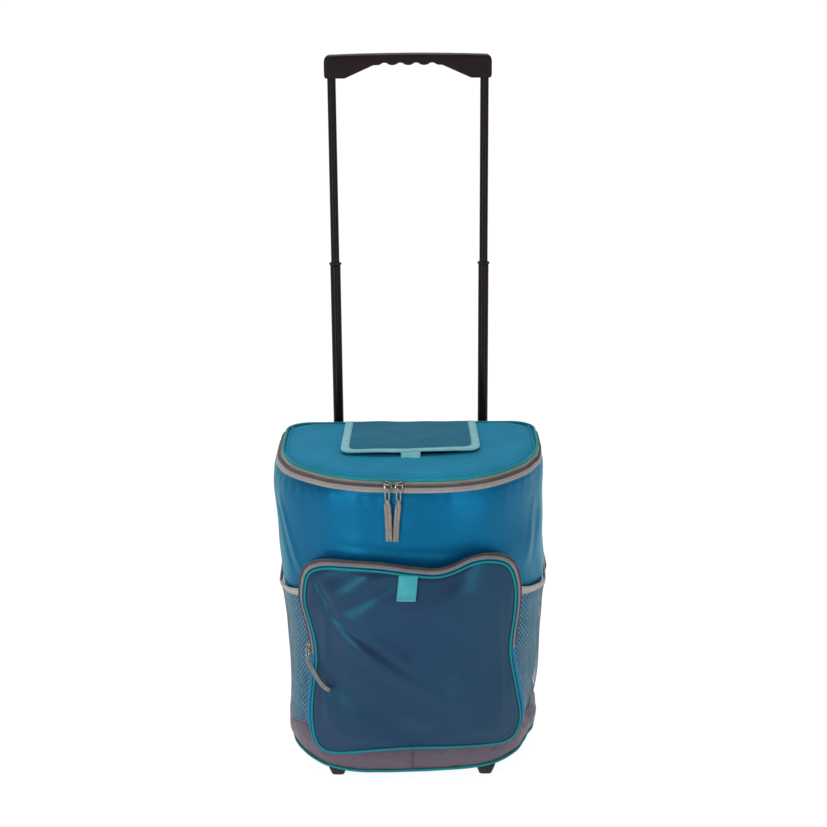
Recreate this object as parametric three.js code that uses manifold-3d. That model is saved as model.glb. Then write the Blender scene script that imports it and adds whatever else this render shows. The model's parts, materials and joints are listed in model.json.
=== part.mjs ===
// A soft cooler bag on a two-wheeled frame with a telescopic handle.
// Millimetres. +Z is up, -Y is the front, +X is to the right of a person who faces the front.
// Everything is drawn round the middle of the lid; the whole model is then moved along Y so
// that the origin is under the middle of its box.
import * as THREE from 'three';
import { mergeVertices } from 'three/addons/utils/BufferGeometryUtils.js';
import Module from 'manifold-3d';

const wasm = await Module();
wasm.setup();

// ---------------------------------------------------------------- driving dimensions
const GAP = 0.3; // between pieces that touch

// Plan outline of the lid: flat back, straight sides, a front made of three tangent arcs
const LID_HALF_WIDTH = 156.5;
const LID_BACK = 113;
const LID_FRONT = -113;
const FRONT_ROUND_LENGTH = 105;
const FRONT_ARC_HALF_ANGLE = THREE.MathUtils.degToRad(35);
const BACK_CORNER_RADIUS = 28;

// Side view of the bag: how far the body stands outside the lid outline at each height
const BAG_BOTTOM = 25;
const BAG_TOP = 398;
const BODY_FLARE = [[25, -1], [215, 2], [245, 6], [262, 14], [385, 14], [398, 12]];
const SHELL_WALL = 1.6;
const FOAM_WALL = 6;
const LINER_WALL = 1;
const BOARD_THICKNESS = 3;
const BAND_TOP_FRONT = 50;
const BAND_TOP_SIDE = 80;
const BAND_PADDING = 6;
const PIPING_RADIUS = 1.8;

// Lid, zipper and hatch
const LID_TOP = 413;
const COVER_THICKNESS = 2.5;
const LID_FOAM_THICKNESS = 6.5;
const ZIP_OUTER = [11.5, 399.6]; // offset from the lid outline, height
const ZIP_MIDDLE = [6.3, 404];
const ZIP_INNER = [1.3, 408.8];
const ZIP_TAPE_THICKNESS = 1;
const SLIDER_OFFSET = 10.2; // the sliders stand on the body's tape, clear of the opening lid
const SLIDER_HEIGHT = 401.5;
const SLIDER_ANGLES = { left: THREE.MathUtils.degToRad(-6.6), right: THREE.MathUtils.degToRad(-3.2) };
const HATCH = { halfWidth: 70, back: 92, front: -14, corner: 12 };
const FLAP = { halfWidth: 85.5, back: 108, front: -30, corner: 6, thickness: 2.6, underside: 414 };
const FLAP_BINDING_WIDTH = 8;

// Telescopic handle
const TUBE_X = 97;
const TUBE_Y = LID_BACK + 26;
const UPPER_TUBE = { radius: 5.45, wall: 1, bottom: 563, top: 883 };
const MIDDLE_TUBE = { radius: 6.8, wall: 1.1, bottom: 342, top: 623 };
const OUTER_TUBE = { radius: 8.4, wall: 1.2, bottom: 42, top: 400 };
const TUBE_SEGMENTS = 20;
const GRIP_TOP = 894;
const GRIP_HALF_WIDTH = 106;
const GRIP_END_BOTTOM = 862;
const GRIP_UNDERSIDE = 878.5;
const GRIP_END_WIDTH = 28;
const GRIP_SLOPE_WIDTH = 34;
const GRIP_DEPTH = 24;
const FINGER_PITCH = 20.7;
const FINGER_DEPTH = 2.9;
const LOCK_BUTTON_RADIUS = 2.4;
const UPPER_LOCK = { z: 609, turn: THREE.MathUtils.degToRad(-18) };
const LOWER_LOCK = { z: 380, turn: THREE.MathUtils.degToRad(180) };

// Frame under and behind the bag
const AXLE_Y = LID_BACK + 31.5;
const WHEEL_RADIUS = 27;
const WHEEL_WIDTH = 24;
const WHEEL_X = 129;
const TYRE_THICKNESS = 8;
const AXLE_RADIUS = 3;
const BRACKET = { inner: 84, outer: 111, front: 118, back: 157, bottom: 15, top: 66 };
const RUNNER = { width: 18, thickness: 7, front: -88 };
const FOOT_Y = -79;

// Pockets
const POCKET = { halfWidth: 126, bottom: 74, top: 314, corner: 38, depth: 26, reach: 8 };
const POCKET_ZIP_LOW = 187;
const POCKET_BACK_GAP = 1.4;
const POCKET_PIPING_RADIUS = 1.6;
const POCKET_SLIDER = { x: -POCKET.halfWidth - 3.6, z: 194, height: 11 };
const PANEL_CROWN = 4;
const PANEL_THICKNESS = 1.6;
const MESH = { bottom: 80.5, top: 236, gap: 5.7, wall: 1.2 };
const ELASTIC_HEIGHT = 7;

// ---------------------------------------------------------------- materials
function material(color, roughness, metalness = 0) {
  return new THREE.MeshStandardMaterial({ color, roughness, metalness });
}

const MATERIALS = {
  blue: material(0x13648f, 0.5),
  lidBlue: material(0x2f7a98, 0.55),
  navy: material(0x2a4464, 0.45),
  flapTeal: material(0x326b83, 0.55),
  turquoise: material(0x59a9ab, 0.5),
  piping: material(0x2e8a8a, 0.45),
  zipGrey: material(0x777d80, 0.7),
  baseGrey: material(0x757079, 0.6),
  mesh: material(0x8fa6b0, 0.7),
  elastic: material(0xaeaaa7, 0.7),
  foam: material(0xd9dbd8, 0.9),
  liner: material(0xc9cfd2, 0.35),
  board: material(0x2b2b2d, 0.6),
  blackMetal: material(0x1d1817, 0.35, 0.6),
  blackPlastic: material(0x191514, 0.5),
  steel: material(0xb4b6b8, 0.3, 1),
  rubber: material(0x1c1c1d, 0.8),
};

// ---------------------------------------------------------------- mesh helpers
const model = new THREE.Group();
model.name = 'wheeled_cooler';

function addPiece(name, geometry, look) {
  const piece = new THREE.Mesh(geometry, look);
  piece.name = name;
  model.add(piece);
  return piece;
}

function signedVolume(positions, index) {
  let volume = 0;
  const corner = [new THREE.Vector3(), new THREE.Vector3(), new THREE.Vector3()];
  for (let i = 0; i < index.length; i += 3) {
    corner.forEach((point, k) => point.fromArray(positions, index[i + k] * 3));
    volume += corner[0].dot(corner[1].clone().cross(corner[2])) / 6;
  }
  return volume;
}

function indexedGeometry(positions, index) {
  const facingOut = signedVolume(positions, index) > 0 ? index : [...index].reverse();
  const geometry = new THREE.BufferGeometry();
  geometry.setAttribute('position', new THREE.Float32BufferAttribute(positions, 3));
  geometry.setIndex(facingOut);
  return geometry;
}

// Skin over a row of rings with equal point counts. A closed row joins its last ring to its
// first; an open row gets a flat fan over each end ring. Each quad is split along the diagonal
// that rises the same way, so that walls nested in each other stay parallel.
function loft(rings, closed = false) {
  const count = rings[0].length;
  const positions = rings.flat().flatMap((point) => point.toArray());
  const index = [];
  const spans = closed ? rings.length : rings.length - 1;
  for (let r = 0; r < spans; r += 1) {
    const next = (r + 1) % rings.length;
    for (let i = 0; i < count; i += 1) {
      const a = r * count + i;
      const b = r * count + ((i + 1) % count);
      const c = next * count + ((i + 1) % count);
      const d = next * count + i;
      const rises = rings[next][i].z >= rings[r][i].z;
      index.push(...(rises ? [a, b, c, a, c, d] : [a, b, d, b, c, d]));
    }
  }
  if (!closed) {
    capEnd(rings[0], 0, positions, index, true);
    capEnd(rings[rings.length - 1], (rings.length - 1) * count, positions, index, false);
  }
  return indexedGeometry(positions, index);
}

function capEnd(ring, first, positions, index, flip) {
  const middle = new THREE.Vector3();
  ring.forEach((point) => middle.addScaledVector(point, 1 / ring.length));
  const centre = positions.length / 3;
  positions.push(...middle.toArray());
  for (let i = 0; i < ring.length; i += 1) {
    const a = first + i;
    const b = first + ((i + 1) % ring.length);
    index.push(...(flip ? [centre, b, a] : [centre, a, b]));
  }
}

// Manifold booleans, used only to join and cut
function toSolid(geometry) {
  const bare = geometry.clone();
  bare.deleteAttribute('normal');
  bare.deleteAttribute('uv');
  const merged = mergeVertices(bare, 1e-4);
  return new wasm.Manifold(new wasm.Mesh({
    numProp: 3,
    vertProperties: new Float32Array(merged.attributes.position.array),
    triVerts: new Uint32Array(merged.index.array),
  }));
}

function fromSolid(solid) {
  const mesh = solid.getMesh();
  return indexedGeometry([...mesh.vertProperties], [...mesh.triVerts]);
}

function cut(geometry, ...cutters) {
  return fromSolid(cutters.reduce((solid, cutter) => solid.subtract(toSolid(cutter)), toSolid(geometry)));
}

function boxBetween(low, high) {
  const size = high.map((value, i) => value - low[i]);
  const box = new THREE.BoxGeometry(...size);
  return box.translate(...low.map((value, i) => value + size[i] / 2));
}

function cylinderAlongX(radius, from, to, y, z, segments = 20) {
  const rod = new THREE.CylinderGeometry(radius, radius, to - from, segments);
  return rod.rotateZ(Math.PI / 2).translate((from + to) / 2, y, z);
}

function cylinderAlongZ(radius, from, to, x, y, segments = 20) {
  const rod = new THREE.CylinderGeometry(radius, radius, to - from, segments);
  return rod.rotateX(Math.PI / 2).translate(x, y, (from + to) / 2);
}

// Ring turned about the vertical, from [radius, height] corners that close on themselves
function turnedAboutZ(corners, x, y, segments = TUBE_SEGMENTS) {
  const profile = [...corners, corners[0]].map(([radius, z]) => new THREE.Vector2(radius, z));
  return new THREE.LatheGeometry(profile, segments).rotateX(Math.PI / 2).translate(x, y, 0);
}

function roundedRectangle(left, bottom, right, top, radius) {
  const shape = new THREE.Shape();
  shape.moveTo(left + radius, bottom);
  shape.lineTo(right - radius, bottom);
  shape.absarc(right - radius, bottom + radius, radius, -Math.PI / 2, 0);
  shape.lineTo(right, top - radius);
  shape.absarc(right - radius, top - radius, radius, 0, Math.PI / 2);
  shape.lineTo(left + radius, top);
  shape.absarc(left + radius, top - radius, radius, Math.PI / 2, Math.PI);
  shape.lineTo(left, bottom + radius);
  shape.absarc(left + radius, bottom + radius, radius, Math.PI, 1.5 * Math.PI);
  return shape;
}

function slab(shape, bottom, top, curveSegments = 4) {
  const plate = new THREE.ExtrudeGeometry(shape, { depth: top - bottom, bevelEnabled: false, curveSegments });
  return plate.translate(0, 0, bottom);
}

// ---------------------------------------------------------------- plan outline
const sinArc = Math.sin(FRONT_ARC_HALF_ANGLE);
const cosArc = Math.cos(FRONT_ARC_HALF_ANGLE);
const arcShare = sinArc * cosArc - (1 - sinArc) * (1 - cosArc);
const FRONT_ARC_RADIUS = (LID_HALF_WIDTH * cosArc - FRONT_ROUND_LENGTH * (1 - sinArc)) / arcShare;
const SIDE_ARC_RADIUS = (FRONT_ROUND_LENGTH * sinArc - LID_HALF_WIDTH * (1 - cosArc)) / arcShare;
const FRONT_ARC_CENTRE_Y = LID_FRONT + FRONT_ARC_RADIUS;
const SIDE_ARC_CENTRE = [LID_HALF_WIDTH - SIDE_ARC_RADIUS, LID_FRONT + FRONT_ROUND_LENGTH];
const BACK_CORNER_CENTRE = [LID_HALF_WIDTH - BACK_CORNER_RADIUS, LID_BACK - BACK_CORNER_RADIUS];

// Stations round the outline, clockwise from the right back corner: where they are and the
// direction, in degrees from +X, that faces outwards there.
function arcStations(centre, radius, from, to, steps) {
  return Array.from({ length: steps + 1 }, (unused, i) => {
    const degrees = THREE.MathUtils.lerp(from, to, i / steps);
    const angle = THREE.MathUtils.degToRad(degrees);
    const normal = new THREE.Vector2(Math.cos(angle), Math.sin(angle));
    return { degrees, normal, point: new THREE.Vector2(...centre).addScaledVector(normal, radius) };
  });
}

function mirrored(stations) {
  return stations.map(({ degrees, normal, point }) => ({
    degrees: -180 - degrees,
    normal: new THREE.Vector2(-normal.x, normal.y),
    point: new THREE.Vector2(-point.x, point.y),
  })).reverse();
}

const sideLimit = -90 + THREE.MathUtils.radToDeg(FRONT_ARC_HALF_ANGLE);
const RIGHT_STATIONS = [
  ...arcStations(BACK_CORNER_CENTRE, BACK_CORNER_RADIUS, 90, 0, 5),
  ...arcStations(SIDE_ARC_CENTRE, SIDE_ARC_RADIUS, 0, sideLimit, 6),
  ...arcStations([0, FRONT_ARC_CENTRE_Y], FRONT_ARC_RADIUS, sideLimit, -90, 5).slice(1),
];
const STATIONS = [...RIGHT_STATIONS, ...mirrored(RIGHT_STATIONS).slice(1)];
const ZIP_STATIONS = STATIONS.slice(3, -3);

function flareAt(z) {
  const next = Math.max(1, BODY_FLARE.findIndex(([height]) => height >= z));
  const [lowZ, lowFlare] = BODY_FLARE[next - 1];
  const [highZ, highFlare] = BODY_FLARE[next];
  return THREE.MathUtils.mapLinear(z, lowZ, highZ, lowFlare, highFlare);
}

function sideShare(station) {
  return 1 - Math.max(0, station.normal.y);
}

function lidPoint(station, offset, z) {
  const { point, normal } = station;
  return new THREE.Vector3(point.x + normal.x * offset, point.y + normal.y * offset, z);
}

function bodyPoint(station, offset, z) {
  return lidPoint(station, offset + flareAt(z) * sideShare(station), z);
}

function bodyRing(offset, z) {
  return STATIONS.map((station) => bodyPoint(station, offset, z));
}

// Sweep of a cross-section along some stations; section(station) lists [offset, z] corners
function sweep(stations, section, place, closed) {
  const rings = stations.map((station) => section(station).map(([offset, z]) => place(station, offset, z)));
  return loft(rings, closed);
}

function roundSection(offset, z, radius, sides = 6) {
  return Array.from({ length: sides }, (unused, i) => {
    const angle = (i / sides) * 2 * Math.PI;
    return [offset + radius * Math.cos(angle), z + radius * Math.sin(angle)];
  });
}

function lidShape(offset) {
  return new THREE.Shape(STATIONS.map((station) => {
    const { x, y } = lidPoint(station, offset, 0);
    return new THREE.Vector2(x, y);
  }));
}

// ---------------------------------------------------------------- bag body
// Open tub between two offsets, with its floor at the bottom
function tub(outer, wall, floorBottom, floorTop, top) {
  const levels = BODY_FLARE.map(([z]) => z).filter((z) => z > floorTop + 5 && z < top - 2);
  const outside = [floorBottom + 3, ...levels, top].map((z) => bodyRing(outer, z));
  const inside = [top, ...levels.reverse(), floorTop].map((z) => bodyRing(outer - wall, z));
  return loft([bodyRing(outer - 3, floorBottom), ...outside, ...inside]);
}

function buildBag() {
  const boardBottom = BAG_BOTTOM + SHELL_WALL + GAP;
  const foamBottom = boardBottom + BOARD_THICKNESS + GAP;
  const linerBottom = foamBottom + FOAM_WALL + GAP;
  const foamOuter = -SHELL_WALL - GAP;
  const linerOuter = foamOuter - FOAM_WALL - GAP;
  addPiece('body_shell', tub(0, SHELL_WALL, BAG_BOTTOM, BAG_BOTTOM + SHELL_WALL, BAG_TOP), MATERIALS.blue);
  addPiece('base_board', loft([
    bodyRing(foamOuter - 3, boardBottom),
    bodyRing(foamOuter - 3, boardBottom + BOARD_THICKNESS),
  ]), MATERIALS.board);
  addPiece('insulation', tub(foamOuter, FOAM_WALL, foamBottom, foamBottom + FOAM_WALL, BAG_TOP - 1),
    MATERIALS.foam);
  addPiece('liner', tub(linerOuter, LINER_WALL, linerBottom, linerBottom + LINER_WALL, BAG_TOP),
    MATERIALS.liner);
}

// The padded grey band lies thin against the bag's flat back, clear of the wheels
function bandOffset(station) {
  return THREE.MathUtils.lerp(0.8, BAND_PADDING, sideShare(station));
}

function bandTop(station) {
  const frontShare = Math.max(0, -station.normal.y);
  return THREE.MathUtils.lerp(BAND_TOP_SIDE, BAND_TOP_FRONT, frontShare ** 2);
}

function buildBase() {
  const bandBottom = BAG_BOTTOM + 2 * PIPING_RADIUS;
  addPiece('base_band', sweep(STATIONS, (station) => [
    [GAP, bandBottom],
    [bandOffset(station), bandBottom],
    [bandOffset(station), bandTop(station)],
    [GAP, bandTop(station)],
  ], bodyPoint, true), MATERIALS.baseGrey);
  addPiece('base_piping', sweep(STATIONS, (station) => {
    const middle = Math.max(bandOffset(station) - PIPING_RADIUS, PIPING_RADIUS + GAP);
    return roundSection(middle, BAG_BOTTOM + PIPING_RADIUS - GAP, PIPING_RADIUS);
  }, bodyPoint, true), MATERIALS.piping);
}

// ---------------------------------------------------------------- lid and hatch
function tapeSection([outerOffset, outerZ], [innerOffset, innerZ]) {
  return () => [
    [outerOffset, outerZ],
    [innerOffset, innerZ],
    [innerOffset - ZIP_TAPE_THICKNESS, innerZ - ZIP_TAPE_THICKNESS],
    [outerOffset - ZIP_TAPE_THICKNESS, outerZ - ZIP_TAPE_THICKNESS],
  ];
}

function lidPlate(offset, bottom, top) {
  const { halfWidth, back, front, corner } = HATCH;
  const shape = lidShape(offset);
  shape.holes.push(roundedRectangle(-halfWidth, front, halfWidth, back, corner));
  return slab(shape, bottom, top);
}

function buildLid() {
  const coverBottom = LID_TOP - COVER_THICKNESS;
  const foamTop = coverBottom - GAP;
  const foamBottom = foamTop - LID_FOAM_THICKNESS;
  const halfGap = GAP / 2;
  addPiece('lid_cover', lidPlate(-1.4, coverBottom, LID_TOP), MATERIALS.lidBlue);
  addPiece('lid_foam', lidPlate(-4, foamBottom, foamTop), MATERIALS.foam);
  addPiece('lid_liner', lidPlate(-4, foamBottom - GAP - LINER_WALL, foamBottom - GAP), MATERIALS.liner);
  addPiece('lid_piping', sweep(STATIONS, () => roundSection(1, LID_TOP - 1.4, PIPING_RADIUS),
    lidPoint, true), MATERIALS.piping);
  const tapeJoin = [ZIP_MIDDLE[0] + halfGap, ZIP_MIDDLE[1] - halfGap];
  const tapeJoinAbove = [ZIP_MIDDLE[0] - halfGap, ZIP_MIDDLE[1] + halfGap];
  addPiece('body_zip_tape', sweep(ZIP_STATIONS, tapeSection(ZIP_OUTER, tapeJoin), lidPoint, false),
    MATERIALS.zipGrey);
  addPiece('lid_zip_tape', sweep(ZIP_STATIONS, tapeSection(tapeJoinAbove, ZIP_INNER), lidPoint, false),
    MATERIALS.zipGrey);
}

function buildHatch() {
  const { halfWidth, back, front, corner, thickness, underside } = FLAP;
  const inner = halfWidth - FLAP_BINDING_WIDTH;
  const panelFront = front + FLAP_BINDING_WIDTH;
  addPiece('hatch_flap', slab(roundedRectangle(-inner + GAP, panelFront + GAP, inner - GAP, back, 2),
    underside, underside + thickness), MATERIALS.flapTeal);
  const binding = new THREE.Shape();
  binding.moveTo(-halfWidth, back);
  binding.lineTo(-halfWidth, front + corner);
  binding.absarc(-halfWidth + corner, front + corner, corner, Math.PI, 1.5 * Math.PI);
  binding.lineTo(halfWidth - corner, front);
  binding.absarc(halfWidth - corner, front + corner, corner, -Math.PI / 2, 0);
  binding.lineTo(halfWidth, back);
  binding.lineTo(inner, back);
  binding.lineTo(inner, panelFront);
  binding.lineTo(-inner, panelFront);
  binding.lineTo(-inner, back);
  addPiece('hatch_binding', slab(binding, underside, underside + thickness + 0.4), MATERIALS.turquoise);
  addPiece('hatch_tab', boxBetween([-8, front - 11, underside], [16, front - GAP, underside + 1.4]),
    MATERIALS.turquoise);
}

// ---------------------------------------------------------------- zipper sliders and pulls
// Slider body standing on the sloping zipper, drawn at the front middle and turned round the
// centre of the front arc to where it stands.
function lidSliderGeometry(angle) {
  const slider = new THREE.Shape();
  slider.moveTo(-5, -3);
  slider.quadraticCurveTo(-5, -5, -3, -5);
  slider.lineTo(3, -5);
  slider.quadraticCurveTo(5, -5, 5, -3);
  slider.lineTo(3.6, 4.5);
  slider.lineTo(-3.6, 4.5);
  const body = new THREE.ExtrudeGeometry(slider, { depth: 3.6, bevelEnabled: false, curveSegments: 3 });
  body.rotateX(Math.PI / 4);
  body.translate(0, -FRONT_ARC_RADIUS - SLIDER_OFFSET, SLIDER_HEIGHT);
  return body.rotateZ(angle).translate(0, FRONT_ARC_CENTRE_Y, 0);
}

// Metal link and cord in one solid, from the slider down the front of the bag.
// route lists [offset from the lid outline, height].
function lidPullGeometry(angle) {
  const route = [[18, 402.5], [18.6, 394], [19, 386], [19, 339]];
  const half = [2.6, 2.6, 2.4, 2.4];
  const rings = route.map(([offset, z], i) => {
    const y = -FRONT_ARC_RADIUS - offset;
    return [[-half[i], y - 1.5], [half[i], y - 1.5], [half[i], y + 1.5], [-half[i], y + 1.5]]
      .map(([x, depth]) => new THREE.Vector3(x, depth, z));
  });
  return loft(rings).rotateZ(angle).translate(0, FRONT_ARC_CENTRE_Y, 0);
}

function buildLidSliders() {
  for (const [side, angle] of Object.entries(SLIDER_ANGLES)) {
    addPiece(`lid_slider_${side}`, lidSliderGeometry(angle), MATERIALS.steel);
    addPiece(`lid_pull_${side}`, lidPullGeometry(angle), MATERIALS.elastic);
  }
}

// ---------------------------------------------------------------- front pocket
// Y of an arc concentric with the bag's curved front, radiusGrowth further out
function frontY(x, radiusGrowth) {
  return FRONT_ARC_CENTRE_Y - Math.sqrt((FRONT_ARC_RADIUS + radiusGrowth) ** 2 - x * x);
}

// A place on the pocket: x and height from the front view, proud of the bag's front surface
function pocketPoint({ x, y: z }, proud) {
  const growth = proud === 0 ? flareAt(z) + POCKET_BACK_GAP : POCKET.reach + proud;
  return new THREE.Vector3(x, frontY(x, growth), z);
}

function cornerPoints(x, z, radius, from) {
  return Array.from({ length: 5 }, (unused, i) => {
    const angle = THREE.MathUtils.degToRad(from + i * 22.5);
    return new THREE.Vector2(x + radius * Math.cos(angle), z + radius * Math.sin(angle));
  });
}

// Outline seen from the front, as (x, z), counter-clockwise from the bottom middle
function pocketOutline(inset) {
  const { halfWidth, bottom, top, corner } = POCKET;
  const cornerX = halfWidth - corner;
  const radius = corner - inset;
  const edgeXs = [-0.5, -0.25, 0, 0.25, 0.5].map((share) => share * halfWidth);
  const sideZs = [POCKET_ZIP_LOW, POCKET_ZIP_LOW + 2, 245, 262];
  return [
    ...edgeXs.map((x) => new THREE.Vector2(x, bottom + inset)),
    ...cornerPoints(cornerX, bottom + corner, radius, -90),
    ...sideZs.map((z) => new THREE.Vector2(halfWidth - inset, z)),
    ...cornerPoints(cornerX, top - corner, radius, 0),
    ...[...edgeXs].reverse().map((x) => new THREE.Vector2(x, top - inset)),
    ...cornerPoints(-cornerX, top - corner, radius, 90),
    ...[...sideZs].reverse().map((z) => new THREE.Vector2(-halfWidth + inset, z)),
    ...cornerPoints(-cornerX, bottom + corner, radius, 180),
  ];
}

// Upright strip of the front panel at x: its rounded ends and a crowned middle
function panelRing(x, back) {
  const { halfWidth, bottom, top, corner } = POCKET;
  const thickness = PANEL_THICKNESS;
  const taper = 20; // how far inside the edge the crown reaches its full height
  const past = Math.max(0, Math.abs(x) - (halfWidth - corner));
  const rise = corner - Math.sqrt(corner ** 2 - past ** 2);
  const low = bottom + rise;
  const high = top - rise;
  const crown = PANEL_CROWN * (1 - (x / halfWidth) ** 4);
  const places = [[low, 0], [low, thickness], [low + taper, thickness + crown],
    [high - taper, thickness + crown], [high, thickness], [high, 0], [high - taper, crown],
    [low + taper, crown]];
  return places.map(([z, proud]) => pocketPoint(new THREE.Vector2(x, z), back + proud));
}

function buildPocket() {
  const wall = 1.6;
  const edge = pocketOutline(0);
  const inner = pocketOutline(wall);
  const zipBack = POCKET.depth * 0.55;
  const isZipped = (point) => point.y > POCKET_ZIP_LOW + 1;
  const gussetFront = (point) => (isZipped(point) ? zipBack : POCKET.depth);
  addPiece('pocket_gusset', loft(edge.map((point, i) => [
    pocketPoint(point, 0),
    pocketPoint(point, gussetFront(point)),
    pocketPoint(inner[i], gussetFront(point)),
    pocketPoint(inner[i], 0),
  ]), true), MATERIALS.navy);

  const zipped = edge.map((point, i) => i).filter((i) => isZipped(edge[i]));
  addPiece('pocket_zip_tape', loft(zipped.map((i) => [
    pocketPoint(edge[i], zipBack + GAP),
    pocketPoint(edge[i], POCKET.depth),
    pocketPoint(inner[i], POCKET.depth),
    pocketPoint(inner[i], zipBack + GAP),
  ])), MATERIALS.zipGrey);

  const panelBack = POCKET.depth + 2 * GAP;
  const columns = [-1, -0.97, -0.9, -0.8, -0.7, -0.5, -0.25, 0, 0.25, 0.5, 0.7, 0.8, 0.9, 0.97, 1];
  const panelRings = columns.map((share) => panelRing(share * POCKET.halfWidth, panelBack));
  addPiece('pocket_panel', loft(panelRings), MATERIALS.navy);

  const pipeOutline = pocketOutline(-POCKET_PIPING_RADIUS - GAP);
  addPiece('pocket_piping', loft(pipeOutline.map((point, i) => {
    const outward = point.clone().sub(edge[i]).normalize();
    return roundSection(0, panelBack, POCKET_PIPING_RADIUS, 5).map(([across, proud]) => (
      pocketPoint(point.clone().addScaledVector(outward, across), proud)
    ));
  }), true), MATERIALS.piping);

  const tabRows = [[312, 2.8], [300, 5.4], [293, 6.9], [286, 7]];
  const tabCorners = [[-12, 0], [12, 0], [12, 1.3], [-12, 1.3]];
  addPiece('pocket_tab', loft(tabRows.map(([z, out]) => tabCorners.map(([x, more]) => (
    pocketPoint(new THREE.Vector2(x - 1, z), panelBack + out + more)
  )))), MATERIALS.turquoise);
}

function buildPocketSlider() {
  const { x, z, height } = POCKET_SLIDER;
  const y = frontY(x, POCKET.reach + POCKET.depth * 0.78);
  addPiece('pocket_slider', boxBetween([x - 3, y - 4.5, z - height / 2], [x + 3, y + 4.5, z + height / 2]),
    MATERIALS.steel);
  // The pull hangs beside the piping, then crosses it and lies on the panel
  const route = [
    [x - 6, y, z + 1],
    [x - 6, y - 7, z - 8],
    [x - 2, y - 14.5, z - 16],
    [x + 5.6, y - 17.5, z - 25],
    [x + 14.6, y - 23.5, z - 34],
    [x + 25.6, y - 30.5, z - 43],
  ];
  const corners = [[-2.4, 1.3], [2.4, 1.3], [2.4, -1.3], [-2.4, -1.3]];
  addPiece('pocket_pull', loft(route.map((middle) => corners.map(([dx, dy]) => (
    new THREE.Vector3(middle[0] + dx, middle[1] + dy, middle[2])
  )))), MATERIALS.elastic);
}

// ---------------------------------------------------------------- side pockets
function meshOffset(station, first, last) {
  const share = THREE.MathUtils.mapLinear(station.degrees, first, last, 0, 1);
  return GAP + (MESH.gap - GAP) * Math.min(1, 4 * share, 4 * (1 - share));
}

function buildSidePockets() {
  const [first, last] = [36, -46];
  const right = RIGHT_STATIONS.filter(({ degrees }) => degrees <= first && degrees >= last);
  for (const [side, stations] of Object.entries({ right, left: mirrored(right) })) {
    const reach = (station) => {
      const degrees = side === 'right' ? station.degrees : -180 - station.degrees;
      return meshOffset({ degrees }, first, last);
    };
    const strip = (bottom, top, extra) => (station) => [
      [reach(station), bottom],
      [reach(station) + MESH.wall + extra, bottom],
      [reach(station) + MESH.wall + extra, top],
      [reach(station), top],
    ];
    addPiece(`mesh_pocket_${side}`, sweep(stations, strip(MESH.bottom, MESH.top, 0), bodyPoint, false),
      MATERIALS.mesh);
    addPiece(`mesh_binding_${side}`,
      sweep(stations, strip(MESH.top + GAP, MESH.top + ELASTIC_HEIGHT, 0.6), bodyPoint, false),
      MATERIALS.elastic);
  }
}

// ---------------------------------------------------------------- telescopic handle
function tube({ radius, wall, bottom, top }, x) {
  const bore = radius - wall;
  return turnedAboutZ([[bore, bottom], [radius, bottom], [radius, top], [bore, top]], x, TUBE_Y);
}

// Straight pin pointing away from the tube's axis; turn 0 faces the front
function pinFromTube(radius, from, to, x, { z, turn }, segments = 12) {
  const pin = new THREE.CylinderGeometry(radius, radius, to - from, segments);
  return pin.translate(0, -(from + to) / 2, 0).rotateZ(turn).translate(x, TUBE_Y, z);
}

function buildTubes() {
  const lockHole = LOCK_BUTTON_RADIUS + 0.4;
  for (const [side, x] of [['left', -TUBE_X], ['right', TUBE_X]]) {
    const isLocked = side === 'right';
    const holes = {
      upper: pinFromTube(lockHole, 2, 12, x, UPPER_LOCK),
      lower: pinFromTube(lockHole, 2, 14, x, LOWER_LOCK),
    };
    addPiece(`upper_tube_${side}`, isLocked ? cut(tube(UPPER_TUBE, x), holes.upper) : tube(UPPER_TUBE, x),
      MATERIALS.blackMetal);
    addPiece(`middle_tube_${side}`, isLocked ? cut(tube(MIDDLE_TUBE, x), holes.upper, holes.lower)
      : tube(MIDDLE_TUBE, x), MATERIALS.blackMetal);
    addPiece(`outer_tube_${side}`, isLocked ? cut(tube(OUTER_TUBE, x), holes.lower) : tube(OUTER_TUBE, x),
      MATERIALS.blackMetal);
  }
}

function buildCollars() {
  const upperBore = UPPER_TUBE.radius + GAP;
  const middleBore = MIDDLE_TUBE.radius + GAP;
  const middleTop = MIDDLE_TUBE.top;
  const outerTop = OUTER_TUBE.top;
  for (const [side, x] of [['left', -TUBE_X], ['right', TUBE_X]]) {
    addPiece(`middle_collar_${side}`, turnedAboutZ([
      [upperBore, middleTop + GAP],
      [MIDDLE_TUBE.radius, middleTop + GAP],
      [8, middleTop + 0.6],
      [8, middleTop + 1.8],
      [upperBore + 0.6, middleTop + 3.4],
      [upperBore, middleTop + 3.4],
    ], x, TUBE_Y), MATERIALS.blackPlastic);
    addPiece(`outer_collar_${side}`, turnedAboutZ([
      [middleBore, outerTop + GAP],
      [OUTER_TUBE.radius + GAP, outerTop + GAP],
      [OUTER_TUBE.radius + GAP, outerTop - 10],
      [9.8, outerTop - 10],
      [9.8, outerTop + 1.5],
      [middleBore + 1, outerTop + 3],
      [middleBore, outerTop + 3],
    ], x, TUBE_Y), MATERIALS.blackPlastic);
  }
}

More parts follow.
